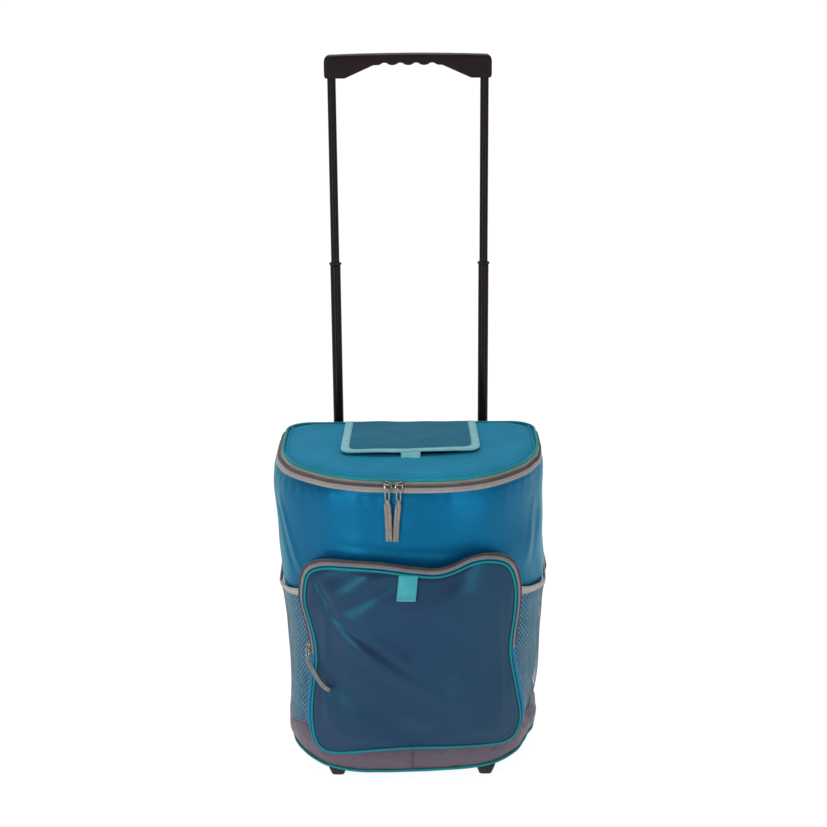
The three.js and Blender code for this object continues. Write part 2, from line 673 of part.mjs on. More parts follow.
function buildLockButtons() {
  const locks = { upper: [MIDDLE_TUBE, UPPER_LOCK], lower: [OUTER_TUBE, LOWER_LOCK] };
  for (const [stage, [carrier, place]] of Object.entries(locks)) {
    const stem = carrier.radius - 0.1;
    const head = new THREE.LatheGeometry([
      new THREE.Vector2(0, stem),
      new THREE.Vector2(LOCK_BUTTON_RADIUS, stem),
      new THREE.Vector2(LOCK_BUTTON_RADIUS, carrier.radius + 1.3),
      new THREE.Vector2(LOCK_BUTTON_RADIUS * 0.7, carrier.radius + 1.9),
      new THREE.Vector2(0, carrier.radius + 2.2),
    ], 12);
    head.rotateX(Math.PI).rotateZ(place.turn).translate(TUBE_X, TUBE_Y, place.z);
    addPiece(`${stage}_lock_button`, head, MATERIALS.blackPlastic);
  }
}

function gripShape() {
  const corner = 6.5;
  const endInner = GRIP_HALF_WIDTH - GRIP_END_WIDTH;
  const slopeInner = endInner - GRIP_SLOPE_WIDTH;
  const crown = 2.2;
  const shoulder = GRIP_TOP - crown;
  const grip = new THREE.Shape();
  grip.moveTo(-GRIP_HALF_WIDTH, GRIP_END_BOTTOM + 2);
  grip.quadraticCurveTo(-GRIP_HALF_WIDTH, GRIP_END_BOTTOM, -GRIP_HALF_WIDTH + 2, GRIP_END_BOTTOM);
  grip.lineTo(-endInner, GRIP_END_BOTTOM);
  grip.bezierCurveTo(-endInner + 10, GRIP_END_BOTTOM + 8, -slopeInner - 14, GRIP_UNDERSIDE,
    -slopeInner, GRIP_UNDERSIDE);
  for (const step of [-1.5, -0.5, 0.5, 1.5]) {
    const middle = step * FINGER_PITCH;
    grip.lineTo(middle - 5, GRIP_UNDERSIDE);
    grip.quadraticCurveTo(middle, GRIP_UNDERSIDE + 2 * FINGER_DEPTH, middle + 5, GRIP_UNDERSIDE);
  }
  grip.lineTo(slopeInner, GRIP_UNDERSIDE);
  grip.bezierCurveTo(slopeInner + 14, GRIP_UNDERSIDE, endInner - 10, GRIP_END_BOTTOM + 8,
    endInner, GRIP_END_BOTTOM);
  grip.lineTo(GRIP_HALF_WIDTH - 2, GRIP_END_BOTTOM);
  grip.quadraticCurveTo(GRIP_HALF_WIDTH, GRIP_END_BOTTOM, GRIP_HALF_WIDTH, GRIP_END_BOTTOM + 2);
  grip.lineTo(GRIP_HALF_WIDTH, shoulder - corner);
  grip.quadraticCurveTo(GRIP_HALF_WIDTH, shoulder, GRIP_HALF_WIDTH - corner, shoulder);
  grip.quadraticCurveTo(0, GRIP_TOP + crown, -GRIP_HALF_WIDTH + corner, shoulder);
  grip.quadraticCurveTo(-GRIP_HALF_WIDTH, shoulder, -GRIP_HALF_WIDTH, shoulder - corner);
  return grip;
}

function buildGrip() {
  const bevel = 1;
  const bar = new THREE.ExtrudeGeometry(gripShape(), {
    depth: GRIP_DEPTH - 2 * bevel,
    bevelThickness: bevel,
    bevelSize: bevel,
    bevelOffset: -bevel,
    bevelSegments: 1,
    curveSegments: 5,
  });
  bar.rotateX(Math.PI / 2).translate(0, TUBE_Y + GRIP_DEPTH / 2 - bevel, 0);
  const socketRadius = UPPER_TUBE.radius + GAP;
  const sockets = [-TUBE_X, TUBE_X].map((x) => (
    cylinderAlongZ(socketRadius, GRIP_END_BOTTOM - 5, UPPER_TUBE.top + GAP, x, TUBE_Y)
  ));
  addPiece('grip', cut(bar, ...sockets), MATERIALS.blackPlastic);
}

// ---------------------------------------------------------------- frame, wheels and feet
function buildBackOfBag() {
  const boardFront = LID_BACK + GAP;
  const boardBack = boardFront + BOARD_THICKNESS;
  addPiece('back_board', boxBetween([-112, boardFront, BAND_TOP_SIDE + 4], [112, boardBack, 372]),
    MATERIALS.board);
  const bores = [-TUBE_X, TUBE_X].map((x) => cylinderAlongZ(OUTER_TUBE.radius + GAP, 340, 380, x, TUBE_Y));
  const bar = boxBetween([-TUBE_X - 14, boardBack + GAP, 348], [TUBE_X + 14, TUBE_Y + 12, 370]);
  addPiece('handle_bracket', cut(bar, ...bores), MATERIALS.blackPlastic);

  // Fabric sleeve over the lower tubes: a wide channel, open to the board and at both ends
  const sleeve = new THREE.Shape();
  const outer = 118;
  const back = TUBE_Y + OUTER_TUBE.radius + 3;
  const front = boardBack + GAP;
  sleeve.moveTo(-outer, front);
  sleeve.lineTo(-outer, back - 8);
  sleeve.quadraticCurveTo(-outer, back, -outer + 8, back);
  sleeve.lineTo(outer - 8, back);
  sleeve.quadraticCurveTo(outer, back, outer, back - 8);
  sleeve.lineTo(outer, front);
  sleeve.lineTo(outer - 2, front);
  sleeve.lineTo(outer - 2, back - 8);
  sleeve.quadraticCurveTo(outer - 2, back - 2, outer - 8, back - 2);
  sleeve.lineTo(-outer + 8, back - 2);
  sleeve.quadraticCurveTo(-outer + 2, back - 2, -outer + 2, back - 8);
  sleeve.lineTo(-outer + 2, front);
  addPiece('back_sleeve', slab(sleeve, BRACKET.top + 8, 346), MATERIALS.blue);
}

function buildFrame() {
  const { inner, outer, front, back, bottom, top } = BRACKET;
  for (const [side, sign] of [['left', -1], ['right', 1]]) {
    const xs = [sign * inner, sign * outer].sort((a, b) => a - b);
    const block = boxBetween([xs[0], front, bottom], [xs[1], back, top]);
    const socketRadius = OUTER_TUBE.radius + GAP;
    const socket = cylinderAlongZ(socketRadius, OUTER_TUBE.bottom - GAP, top + 5, sign * TUBE_X, TUBE_Y);
    const bore = cylinderAlongX(AXLE_RADIUS + GAP, xs[0] - 5, xs[1] + 5, AXLE_Y, WHEEL_RADIUS);
    addPiece(`corner_bracket_${side}`, cut(block, socket, bore), MATERIALS.blackPlastic);

    const runnerTop = BAG_BOTTOM - GAP;
    const x = sign * TUBE_X;
    addPiece(`base_runner_${side}`, boxBetween(
      [x - RUNNER.width / 2, RUNNER.front, runnerTop - RUNNER.thickness],
      [x + RUNNER.width / 2, front - GAP, runnerTop],
    ), MATERIALS.blackMetal);

    const footTop = runnerTop - RUNNER.thickness - GAP;
    const footRing = (halfX, halfY, z) => [[-halfX, -halfY], [halfX, -halfY], [halfX, halfY], [-halfX, halfY]]
      .map(([dx, dy]) => new THREE.Vector3(x + dx, FOOT_Y + dy, z));
    addPiece(`foot_${side}`, loft([footRing(8, 8, 0), footRing(10, 10, 4), footRing(12.5, 12, footTop)]),
      MATERIALS.blackPlastic);
  }
  const axleEnd = WHEEL_X + WHEEL_WIDTH / 2 + 3;
  addPiece('axle', cylinderAlongX(AXLE_RADIUS, -axleEnd, axleEnd, AXLE_Y, WHEEL_RADIUS), MATERIALS.steel);
}

// Ring turned about the axle, from [radius, distance from the wheel's middle plane] corners
function turnedAboutAxle(corners, x, segments) {
  const profile = [...corners, corners[0]].map(([radius, along]) => new THREE.Vector2(radius, along));
  return new THREE.LatheGeometry(profile, segments).rotateZ(-Math.PI / 2).translate(x, AXLE_Y, WHEEL_RADIUS);
}

function buildWheels() {
  const half = WHEEL_WIDTH / 2;
  const rim = WHEEL_RADIUS - TYRE_THICKNESS;
  const bore = AXLE_RADIUS + GAP;
  for (const [side, sign] of [['left', -1], ['right', 1]]) {
    const x = sign * WHEEL_X;
    addPiece(`wheel_hub_${side}`, turnedAboutAxle([
      [bore, -half], [7, -half], [9, -4], [rim - 4, -4], [rim - 3, -half + 1.5], [rim, -half + 1.5],
      [rim, half - 1.5], [rim - 3, half - 1.5], [rim - 4, 4], [9, 4], [7, half], [bore, half],
    ], x, 24), MATERIALS.blackPlastic);
    addPiece(`wheel_tyre_${side}`, turnedAboutAxle([
      [rim + GAP, -half + 1],
      [WHEEL_RADIUS - 3, -half + 0.5],
      [WHEEL_RADIUS - 0.8, -half + 4],
      [WHEEL_RADIUS, 0],
      [WHEEL_RADIUS - 0.8, half - 4],
      [WHEEL_RADIUS - 3, half - 0.5],
      [rim + GAP, half - 1],
    ], x, 32), MATERIALS.rubber);
    const capInner = half + GAP;
    const capProfile = [[0, 3 + GAP], [bore, 3 + GAP], [bore, 0], [6.6, 0], [6.6, 5.6], [5.6, 7], [0, 7]]
      .map(([radius, along]) => new THREE.Vector2(radius, capInner + along));
    const cap = new THREE.LatheGeometry(capProfile, 16).rotateZ(-sign * Math.PI / 2);
    addPiece(`axle_cap_${side}`, cap.translate(x, AXLE_Y, WHEEL_RADIUS), MATERIALS.blackPlastic);
  }
}

// ---------------------------------------------------------------- assembly
buildBag();
buildBase();
buildLid();
buildHatch();
buildLidSliders();
buildPocket();
buildPocketSlider();
buildSidePockets();
buildTubes();
buildCollars();
buildLockButtons();
buildGrip();
buildBackOfBag();
buildFrame();
buildWheels();

const box = new THREE.Box3().setFromObject(model);
model.position.y = -(box.min.y + box.max.y) / 2;

export default model;
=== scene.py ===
"""Looks of the cooler bag on wheels: cloth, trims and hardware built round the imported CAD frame.

Metres, +Z up, -Y the front, +X to the right of a person who faces the front.
"""

import json
import math

import bmesh
import bpy
import numpy as np
from mathutils import Matrix, Vector


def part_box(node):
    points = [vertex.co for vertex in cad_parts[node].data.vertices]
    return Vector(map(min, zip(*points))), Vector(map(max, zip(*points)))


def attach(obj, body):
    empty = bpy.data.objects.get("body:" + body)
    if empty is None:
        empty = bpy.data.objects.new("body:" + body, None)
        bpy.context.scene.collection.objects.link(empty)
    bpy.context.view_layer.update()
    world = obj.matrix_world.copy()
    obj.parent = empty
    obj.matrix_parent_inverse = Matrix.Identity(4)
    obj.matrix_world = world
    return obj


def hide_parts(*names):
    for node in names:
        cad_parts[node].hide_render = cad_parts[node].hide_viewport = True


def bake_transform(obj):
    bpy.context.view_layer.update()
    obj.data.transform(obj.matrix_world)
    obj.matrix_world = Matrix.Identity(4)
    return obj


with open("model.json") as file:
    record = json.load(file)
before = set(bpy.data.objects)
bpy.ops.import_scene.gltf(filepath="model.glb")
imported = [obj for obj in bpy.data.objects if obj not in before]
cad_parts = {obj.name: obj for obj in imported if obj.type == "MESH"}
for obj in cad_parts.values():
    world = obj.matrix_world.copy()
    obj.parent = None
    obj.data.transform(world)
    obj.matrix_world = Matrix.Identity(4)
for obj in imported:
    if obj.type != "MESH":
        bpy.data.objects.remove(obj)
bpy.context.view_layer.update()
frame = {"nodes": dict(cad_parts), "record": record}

MM = 0.001
ROOT = "bag_and_frame"  # the body that everything without a joint rides on


# ---------------------------------------------------------------- sizes taken from the frame
def low_of(node):
    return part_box(node)[0]


def high_of(node):
    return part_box(node)[1]


def middle_of(node):
    low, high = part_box(node)
    return (low + high) / 2


LID_INSET = 1.4 * MM  # how far the lid fabric stops inside the lid's outline
LID_HALF_WIDTH = high_of("lid_cover").x + 4.9 * MM  # of the outline before its uneven fullness
LID_BACK = high_of("lid_cover").y + LID_INSET
LID_FRONT = low_of("lid_cover").y - LID_INSET
LID_TOP = high_of("lid_cover").z
LID_RISE = 2.4 * MM  # how much higher the lid is at its back than at its front
BAG_BOTTOM = low_of("body_shell").z
BAG_TOP = high_of("body_shell").z
FRONT_ROUND_LENGTH = 105 * MM  # depth of the outline's rounded front part
FRONT_ARC_HALF_ANGLE = math.radians(35)  # half the turn of the outline's flat front arc
BACK_CORNER_RADIUS = 28 * MM
ZIP_HEIGHTS = (BAG_TOP + 1.6 * MM, BAG_TOP + 11.2 * MM)  # lower and upper edge of the lid's zipper
ZIP_TOP_OFFSET = 3.4 * MM  # how far the zipper's upper edge stands outside the lid's outline
PIPING_RADIUS = 1.8 * MM
TUBE_X = middle_of("outer_tube_right").x
TUBE_Y = middle_of("outer_tube_right").y
POCKET_CENTRE_Y = 91.5 * MM  # middle of the arc that the front pocket follows
POCKET_RADIUS = POCKET_CENTRE_Y - low_of("pocket_piping").y - 1.5 * MM


# ---------------------------------------------------------------- numbers
def profile(points):
    """A smooth function through (place, value) points that never overshoots them."""
    places, values = np.array(points, float).T
    steps = np.diff(values) / np.diff(places)
    slopes = np.zeros_like(values)
    before, after = steps[:-1], steps[1:]
    agree = before * after > 0
    slopes[1:-1][agree] = 2 * before[agree] * after[agree] / (before[agree] + after[agree])

    def at(place):
        place = np.clip(np.asarray(place, float), places[0], places[-1])
        i = np.clip(np.searchsorted(places, place, side="right") - 1, 0, len(places) - 2)
        span = places[i + 1] - places[i]
        t = (place - places[i]) / span
        rise = (1 + 2 * t) * (1 - t) ** 2 * values[i] + t * t * (3 - 2 * t) * values[i + 1]
        return rise + span * t * (1 - t) * ((1 - t) * slopes[i] - t * slopes[i + 1])

    return at


def smooth(t):
    t = np.clip(t, 0, 1)
    return t * t * (3 - 2 * t)


def bump(value, middle, width):
    return np.exp(-(((value - middle) / width) ** 2))


def ripple(u, v, size, seed, waves=7):
    """Soft random swell between about -1 and 1 over a surface, with bumps of the given size."""
    rng = np.random.default_rng(seed)
    total = 0
    for angle, phase, stretch in rng.uniform([0, 0, 0.7], [math.pi, 2 * math.pi, 1.5], (waves, 3)):
        along = u * math.cos(angle) + v * math.sin(angle)
        total = total + np.sin(2 * math.pi * along / (size * stretch) + phase)
    return total / math.sqrt(waves)


def fold(u, v, start, end, width):
    """A soft ridge of height 1 from start to end that fades out at both ends."""
    (u0, v0), (u1, v1) = start, end
    length = math.hypot(u1 - u0, v1 - v0)
    along = ((u - u0) * (u1 - u0) + (v - v0) * (v1 - v0)) / length**2
    across = ((u - u0) * (v1 - v0) - (v - v0) * (u1 - u0)) / length
    return np.exp(-((across / width) ** 2)) * smooth(along / 0.3) * smooth((1 - along) / 0.3)


def srgb(red, green, blue):
    """Screen colour, 0 to 255, as the linear colour a shader takes."""
    parts = np.array([red, green, blue]) / 255
    linear = np.where(parts <= 0.04045, parts / 12.92, ((parts + 0.055) / 1.055) ** 2.4)
    return (*linear.tolist(), 1.0)


def shade(color, factor):
    return (*(min(1.0, part * factor) for part in color[:3]), 1.0)


def full_turn(count):
    """Evenly spaced angles of one turn."""
    return np.linspace(0, 2 * math.pi, count, endpoint=False)


def unit(vectors):
    return vectors / np.linalg.norm(vectors, axis=-1, keepdims=True)


def squarish(turns, power):
    """How far the edge of a rounded square of half width 1 lies from its middle at each angle."""
    return (np.abs(np.cos(turns)) ** power + np.abs(np.sin(turns)) ** power) ** (-1 / power)


def rounded_end(at, end, radius):
    """How far a surface has drawn in at a distance along it, when it is rounded off at its end."""
    past = max(0.0, at - (end - radius))
    return radius - math.sqrt(max(0.0, radius**2 - past**2))


def folds(u, v, table):
    """Heights of a table of folds over a surface: start, end, width and height in millimetres."""
    return sum(fold(u / MM, v / MM, start, end, width) * height * MM for start, end, width, height in table)


# ---------------------------------------------------------------- materials
class Look:
    """A node material with one Principled shader."""

    def __init__(self, name, color, roughness, metallic=0.0, specular=0.5):
        self.material = bpy.data.materials.new(name)
        self.material.use_nodes = True
        self.tree = self.material.node_tree
        self.shader = self.tree.nodes["Principled BSDF"]
        self.color = color
        self.shader.inputs["Base Color"].default_value = color
        self.shader.inputs["Roughness"].default_value = roughness
        self.shader.inputs["Metallic"].default_value = metallic
        self.shader.inputs["Specular IOR Level"].default_value = specular
        self.height = None

    def node(self, kind, **inputs):
        node = self.tree.nodes.new(kind)
        for name, value in inputs.items():
            node.inputs[name.replace("_", " ")].default_value = value
        return node

    def link(self, output, socket):
        self.tree.links.new(output, socket)

    def coordinates(self, kind):
        """Texture coordinates: UV is the piece's own cloth coordinates, Object its position."""
        return self.node("ShaderNodeTexCoord").outputs[kind]

    def noise(self, size, detail=3.0, roughness=0.5, stretch=(1, 1, 1)):
        mapping = self.node("ShaderNodeMapping", Scale=stretch)
        self.link(self.coordinates("Object"), mapping.inputs["Vector"])
        texture = self.node("ShaderNodeTexNoise", Scale=1 / size, Detail=detail, Roughness=roughness)
        self.link(mapping.outputs["Vector"], texture.inputs["Vector"])
        return texture.outputs["Fac"]

    def bands(self, size, direction, distortion=0.0):
        texture = self.node("ShaderNodeTexWave", Scale=0.1 * math.pi / size, Distortion=distortion)
        texture.bands_direction = direction
        self.link(self.coordinates("UV"), texture.inputs["Vector"])
        return texture.outputs["Fac"]

    def math(self, operation, first, second):
        node = self.tree.nodes.new("ShaderNodeMath")
        node.operation = operation
        for socket, value in zip(node.inputs, (first, second)):
            if isinstance(value, (int, float)):
                socket.default_value = value
            else:
                self.link(value, socket)
        return node.outputs["Value"]

    def vary_color(self, factor, dark, light):
        """Base colour that runs from dark to light times itself along factor."""
        ramp = self.tree.nodes.new("ShaderNodeValToRGB")
        ramp.color_ramp.elements[0].position = 0.3
        ramp.color_ramp.elements[1].position = 0.7
        ramp.color_ramp.elements[0].color = shade(self.color, dark)
        ramp.color_ramp.elements[1].color = shade(self.color, light)
        self.link(factor, ramp.inputs["Fac"])
        self.link(ramp.outputs["Color"], self.shader.inputs["Base Color"])

    def vary_roughness(self, factor, low, high):
        spread = self.node("ShaderNodeMapRange", To_Min=low, To_Max=high)
        self.link(factor, spread.inputs["Value"])
        self.link(spread.outputs["Result"], self.shader.inputs["Roughness"])

    def raise_by(self, height, distance, strength=1.0):
        """Adds a bump of the given depth, in metres, over the ones added before."""
        node = self.node("ShaderNodeBump", Strength=strength, Distance=distance)
        self.link(height, node.inputs["Height"])
        if self.height is not None:
            self.link(self.height, node.inputs["Normal"])
        self.height = node.outputs["Normal"]
        self.link(self.height, self.shader.inputs["Normal"])


def fabric(name, color, thread=0.7 * MM, roughness=0.34, crumple=0.6, weave=0.5, shine=0.05, satin=0.0,
           tint=(0.15, 1.0, 0.88)):
    """Coated woven nylon: fine crossed threads, soft creases, uneven dye and a gloss in its own colour."""
    look = Look(name, color, roughness, metallic=satin, specular=shine)
    look.shader.inputs["Specular Tint"].default_value = (*tint, 1.0)
    look.vary_color(look.noise(60 * MM, 4, 0.6), 0.9, 1.1)
    look.vary_roughness(look.noise(9 * MM, 3), roughness - 0.05, roughness + 0.07)
    look.raise_by(look.noise(22 * MM, 2, 0.45), 1.2 * MM, crumple)
    look.raise_by(look.noise(5 * MM, 2), 0.12 * MM, crumple)
    threads = look.math("MAXIMUM", look.bands(thread, "X"), look.bands(thread, "Y"))
    look.raise_by(threads, 0.12 * thread, weave)
    return look.material


def ribbed_tape(name, color, rib=0.9 * MM):
    """Woven tape or elastic: ribs across its length and a faint fuzz."""
    look = Look(name, color, 0.7, specular=0.3)
    look.shader.inputs["Sheen Weight"].default_value = 0.2
    look.shader.inputs["Sheen Roughness"].default_value = 0.5
    look.vary_color(look.noise(14 * MM, 4, 0.6), 0.88, 1.1)
    look.raise_by(look.bands(rib, "X", 0.2), 0.2 * rib, 0.7)
    look.raise_by(look.noise(0.6 * MM, 2), 0.05 * MM, 0.6)
    return look.material


def braid(name, color):
    """Braided cord: crossing diagonal strands."""
    look = Look(name, color, 0.75, specular=0.25)
    look.shader.inputs["Sheen Weight"].default_value = 0.25
    look.vary_color(look.noise(5 * MM, 4, 0.7), 0.72, 1.2)
    strands = look.math("MAXIMUM", look.bands(1.5 * MM, "DIAGONAL"), look.bands(1.1 * MM, "Y", 1.5))
    look.raise_by(strands, 0.25 * MM, 0.8)
    return look.material


def metal(name, color, roughness):
    """Plated or turned metal: faint stains and fine lengthwise scratches."""
    look = Look(name, color, roughness, metallic=1.0)
    look.vary_color(look.noise(4 * MM, 4, 0.7), 0.8, 1.05)
    look.vary_roughness(look.noise(1.5 * MM, 4), max(0.05, roughness - 0.08), roughness + 0.14)
    look.raise_by(look.noise(0.5 * MM, 3, 0.6, (1, 1, 8)), 0.02 * MM, 0.3)
    return look.material


def painted(name, color, roughness, shine=0.12):
    """Satin paint on drawn tube: faint orange peel, dust and lengthwise rub marks."""
    look = Look(name, color, roughness, specular=shine)
    look.vary_color(look.noise(18 * MM, 5, 0.7, (6, 6, 0.6)), 0.8, 1.5)
    look.vary_roughness(look.noise(7 * MM, 4, 0.6, (8, 8, 0.7)), roughness - 0.04, roughness + 0.06)
    look.raise_by(look.noise(1.2 * MM, 2), 0.02 * MM, 0.3)
    return look.material


def moulded(name, color, roughness, shine=0.4, grain=0.9 * MM, depth=0.06 * MM):
    """Moulded plastic or rubber: fine spark texture and slightly uneven gloss."""
    look = Look(name, color, roughness, specular=shine)
    look.vary_color(look.noise(12 * MM, 4, 0.6), 0.85, 1.25)
    look.vary_roughness(look.noise(4 * MM, 3), roughness - 0.05, roughness + 0.1)
    look.raise_by(look.noise(grain, 3, 0.6), depth, 0.7)
    return look.material


def film(name, color):
    """Silvered liner film with sharp little creases."""
    look = Look(name, color, 0.28, metallic=0.75)
    look.vary_color(look.noise(30 * MM, 4, 0.6), 0.85, 1.08)
    look.vary_roughness(look.noise(12 * MM, 4), 0.2, 0.42)
    look.raise_by(look.noise(14 * MM, 5, 0.62), 1.6 * MM, 0.8)
    return look.material


LOOKS = {
    "body_blue": fabric("body_nylon", srgb(10, 88, 130), roughness=0.36, crumple=0.5, shine=0.3, satin=0.4),
    "gusset_blue": fabric("gusset_nylon", srgb(12, 100, 146), roughness=0.6, crumple=0.4, shine=0.1,
                          satin=0.1),
    # The lid's cloth is a lighter, nearly matte copy of the body's blue nylon: its lighter base colour is
    # painted top light and painted sheen
    "lid_blue": fabric("lid_nylon_with_painted_sheen", srgb(34, 118, 150), roughness=0.7, crumple=0.3),
    "pocket_navy": fabric("pocket_nylon", srgb(38, 44, 76), roughness=0.33, crumple=0.3, weave=0.25,
                          shine=0.45, satin=0.1, tint=(0.0, 0.85, 0.9)),
    "flap_teal": fabric("flap_nylon", srgb(38, 98, 122), roughness=0.7, crumple=0.35),
    "base_grey": fabric("base_nylon", srgb(92, 83, 95), thread=0.9 * MM, roughness=0.42, crumple=0.9,
                        weave=0.7, shine=0.25, satin=0.2, tint=(1.0, 0.86, 0.9)),
    "binding_turquoise": ribbed_tape("binding_tape", srgb(104, 170, 178)),
    "pocket_tab": ribbed_tape("bright_tape", srgb(54, 150, 160)),
    "piping_teal": fabric("piping_cover", srgb(34, 126, 129), thread=0.6 * MM, roughness=0.5, crumple=0.15,
                          satin=0.2),
    "mesh_grey": moulded("net_yarn", srgb(130, 150, 160), 0.6, grain=0.5 * MM, shine=0.2),
    "elastic_grey": ribbed_tape("elastic", srgb(168, 163, 158)),
    "cord_grey": braid("pull_cord", srgb(132, 124, 118)),
    "zip_grey": ribbed_tape("zip_tape", srgb(146, 138, 134), rib=0.7 * MM),
    "pocket_zip": ribbed_tape("pocket_zip_tape", srgb(128, 119, 117), rib=0.7 * MM),
    "zip_coil": moulded("zip_coil_nylon", srgb(92, 88, 90), 0.5, grain=0.4 * MM, shine=0.2),
    "thread_blue": moulded("thread_blue", srgb(14, 70, 104), 0.6, grain=0.3 * MM, shine=0.1),
    "thread_grey": moulded("thread_grey", srgb(116, 110, 108), 0.6, grain=0.3 * MM, shine=0.1),
    "slider_metal": metal("slider_plating", srgb(150, 144, 140), 0.18),
    "foam_white": moulded("foam", srgb(222, 224, 220), 0.9, shine=0.2, grain=1.6 * MM, depth=0.3 * MM),
    "liner_silver": film("liner_film", srgb(206, 211, 214)),
    "board_black": moulded("board_plastic", srgb(34, 34, 36), 0.6, grain=1.4 * MM, depth=0.15 * MM),
    "tube_black": painted("tube_paint", srgb(20, 12, 11), 0.2, shine=0.09),
    "plastic_black": moulded("black_plastic", srgb(26, 19, 18), 0.45, shine=0.15),
    "grip_black": moulded("grip_plastic", srgb(24, 16, 15), 0.45, grain=0.7 * MM, shine=0.12),
    "foot_black": moulded("foot_plastic", srgb(24, 19, 18), 0.45, shine=0.15),
    "tyre_black": moulded("tyre_rubber", srgb(30, 30, 31), 0.75, grain=1.1 * MM, depth=0.1 * MM, shine=0.2),
    "axle_steel": metal("axle_steel", srgb(188, 189, 191), 0.22),
}


# ---------------------------------------------------------------- mesh helpers
def add_piece(name, vertices, faces, look, body, uvs=None, flat=False):
    """A mesh in the row frame that rides on a body. uvs holds one pair for each face corner."""
    mesh = bpy.data.meshes.new(name)
    mesh.from_pydata([tuple(v) for v in vertices], [], faces)
    if uvs is not None:
        layer = mesh.uv_layers.new(name="cloth")
        layer.data.foreach_set("uv", np.asarray(uvs, float).ravel())
    mesh.materials.append(LOOKS[look])
    mesh.polygons.foreach_set("use_smooth", [not flat] * len(mesh.polygons))
    piece = bpy.data.objects.new(name, mesh)
    bpy.context.scene.collection.objects.link(piece)
    face_outwards(mesh)
    if body is not None:
        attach(piece, body)
    return piece


def face_outwards(mesh):
    """Turns every face's normal out of its piece."""
    shape = bmesh.new()
    shape.from_mesh(mesh)
    bmesh.ops.recalc_face_normals(shape, faces=shape.faces)
    shape.to_mesh(mesh)
    shape.free()


def lattice(name, points, look, body, close_rows=False, close_columns=False, caps=False):
    """Skin over a (rows, columns, 3) array of points, with cloth coordinates in metres."""
    points = np.asarray(points, float)
    rows, columns = points.shape[:2]
    row_steps = rows if close_rows else rows - 1
    column_steps = columns if close_columns else columns - 1
    along = np.linalg.norm(np.diff(points, axis=1, append=points[:, :1]), axis=2).mean(0)
    across = np.linalg.norm(np.diff(points, axis=0, append=points[:1]), axis=2).mean(1)
    u = np.concatenate([[0], np.cumsum(along)])
    v = np.concatenate([[0], np.cumsum(across)])
    faces, uvs = [], []
    for r in range(row_steps):
        r2 = (r + 1) % rows
        for c in range(column_steps):
            c2 = (c + 1) % columns
            faces.append((r * columns + c, r * columns + c2, r2 * columns + c2, r2 * columns + c))
            uvs += [(u[c], v[r]), (u[c + 1], v[r]), (u[c + 1], v[r + 1]), (u[c], v[r + 1])]
    if caps:
        for ring in (range(columns), range((rows - 1) * columns, rows * columns)):
            faces.append(tuple(ring))
            uvs += [tuple(points.reshape(-1, 3)[i][:2]) for i in ring]
    return add_piece(name, points.reshape(-1, 3), faces, look, body, uvs)


def thicken(piece, thickness, offset=-1.0):
    """Gives a skin its thickness, inwards by default."""
    modifier = piece.modifiers.new("thickness", "SOLIDIFY")
    modifier.thickness = thickness
    modifier.offset = offset
    modifier.use_quality_normals = True


def ease_edges(piece, width):
    """Rounds a piece's sharp edges off."""
    modifier = piece.modifiers.new("ease", "BEVEL")
    modifier.width = width
    modifier.segments = 2
    modifier.limit_method = "ANGLE"
    modifier.angle_limit = math.radians(35)
    modifier.harden_normals = True


def directions(path, closed):
    """Unit tangents along a path of points."""
    if closed:
        return unit(np.roll(path, -1, 0) - np.roll(path, 1, 0))
    return unit(np.gradient(path, axis=0))


def frames_along(path, closed=False, up=(0, 0, 1)):
    """Two unit directions across the path at each point, the second one as near to up as can be."""
    tangents = directions(path, closed)
    side = np.cross(tangents, np.asarray(up, float))
    side /= np.maximum(np.linalg.norm(side, axis=-1, keepdims=True), 1e-9)
    return side, np.cross(side, tangents)


def tube(name, path, radius, look, body, sides=10, closed=False, up=(0, 0, 1)):
    """Round tube along a path; radius is one number or one for each point."""
    path = np.asarray(path, float)
    side, over = frames_along(path, closed, up)
    turns = full_turn(sides)
    radii = np.broadcast_to(radius, (len(path),))[:, None, None]
    ring = np.cos(turns)[None, :, None] * side[:, None] + np.sin(turns)[None, :, None] * over[:, None]
    points = path[:, None] + radii * ring
    return lattice(name, points, look, body, closed, True, not closed)


def curve_through(points, count, closed=False):
    """Catmull-Rom curve through a few points, evenly spaced."""
    points = np.asarray(points, float)
    total = len(points)
    spans = total if closed else total - 1
    dense = []
    for i in range(spans):
        if closed:
            a, b, c, d = (points[(i + k) % total] for k in (-1, 0, 1, 2))
        else:
            a, b, c, d = (points[min(max(i + k, 0), total - 1)] for k in (-1, 0, 1, 2))
        for t in np.linspace(0, 1, 24, endpoint=False):
            dense.append(0.5 * (2 * b + (c - a) * t + (2 * a - 5 * b + 4 * c - d) * t * t
                                + (3 * b - a - 3 * c + d) * t**3))
    dense.append(points[0] if closed else points[-1])
    dense = np.array(dense)
    run = np.concatenate([[0], np.cumsum(np.linalg.norm(np.diff(dense, axis=0), axis=1))])
    places = np.linspace(0, run[-1], count, endpoint=not closed)
    return np.stack([np.interp(places, run, dense[:, k]) for k in range(points.shape[1])], 1)


def resample(path, spacing):
    """Evenly spaced points along a dense path, and how far along each is."""
    run = np.concatenate([[0], np.cumsum(np.linalg.norm(np.diff(path, axis=0), axis=1))])
    count = max(2, int(round(run[-1] / spacing)) + 1)
    places = np.linspace(0, run[-1], count)
    return np.stack([np.interp(places, run, path[:, k]) for k in range(path.shape[1])], 1), places


def turned(name, corners, look, body, centre, axis, segments):
    """Body of revolution about Z or X, from (radius, distance along the axis) corners."""
    turns = full_turn(segments)
    rings = []
    for radius, along in corners:
        first = radius * np.cos(turns)
        second = radius * np.sin(turns)
        fixed = np.full(segments, float(along))
        columns = (first, second, fixed) if axis == "Z" else (fixed, first, second)
        rings.append(np.stack(columns, 1))
    return lattice(name, np.array(rings) + np.asarray(centre, float), look, body, True, True)


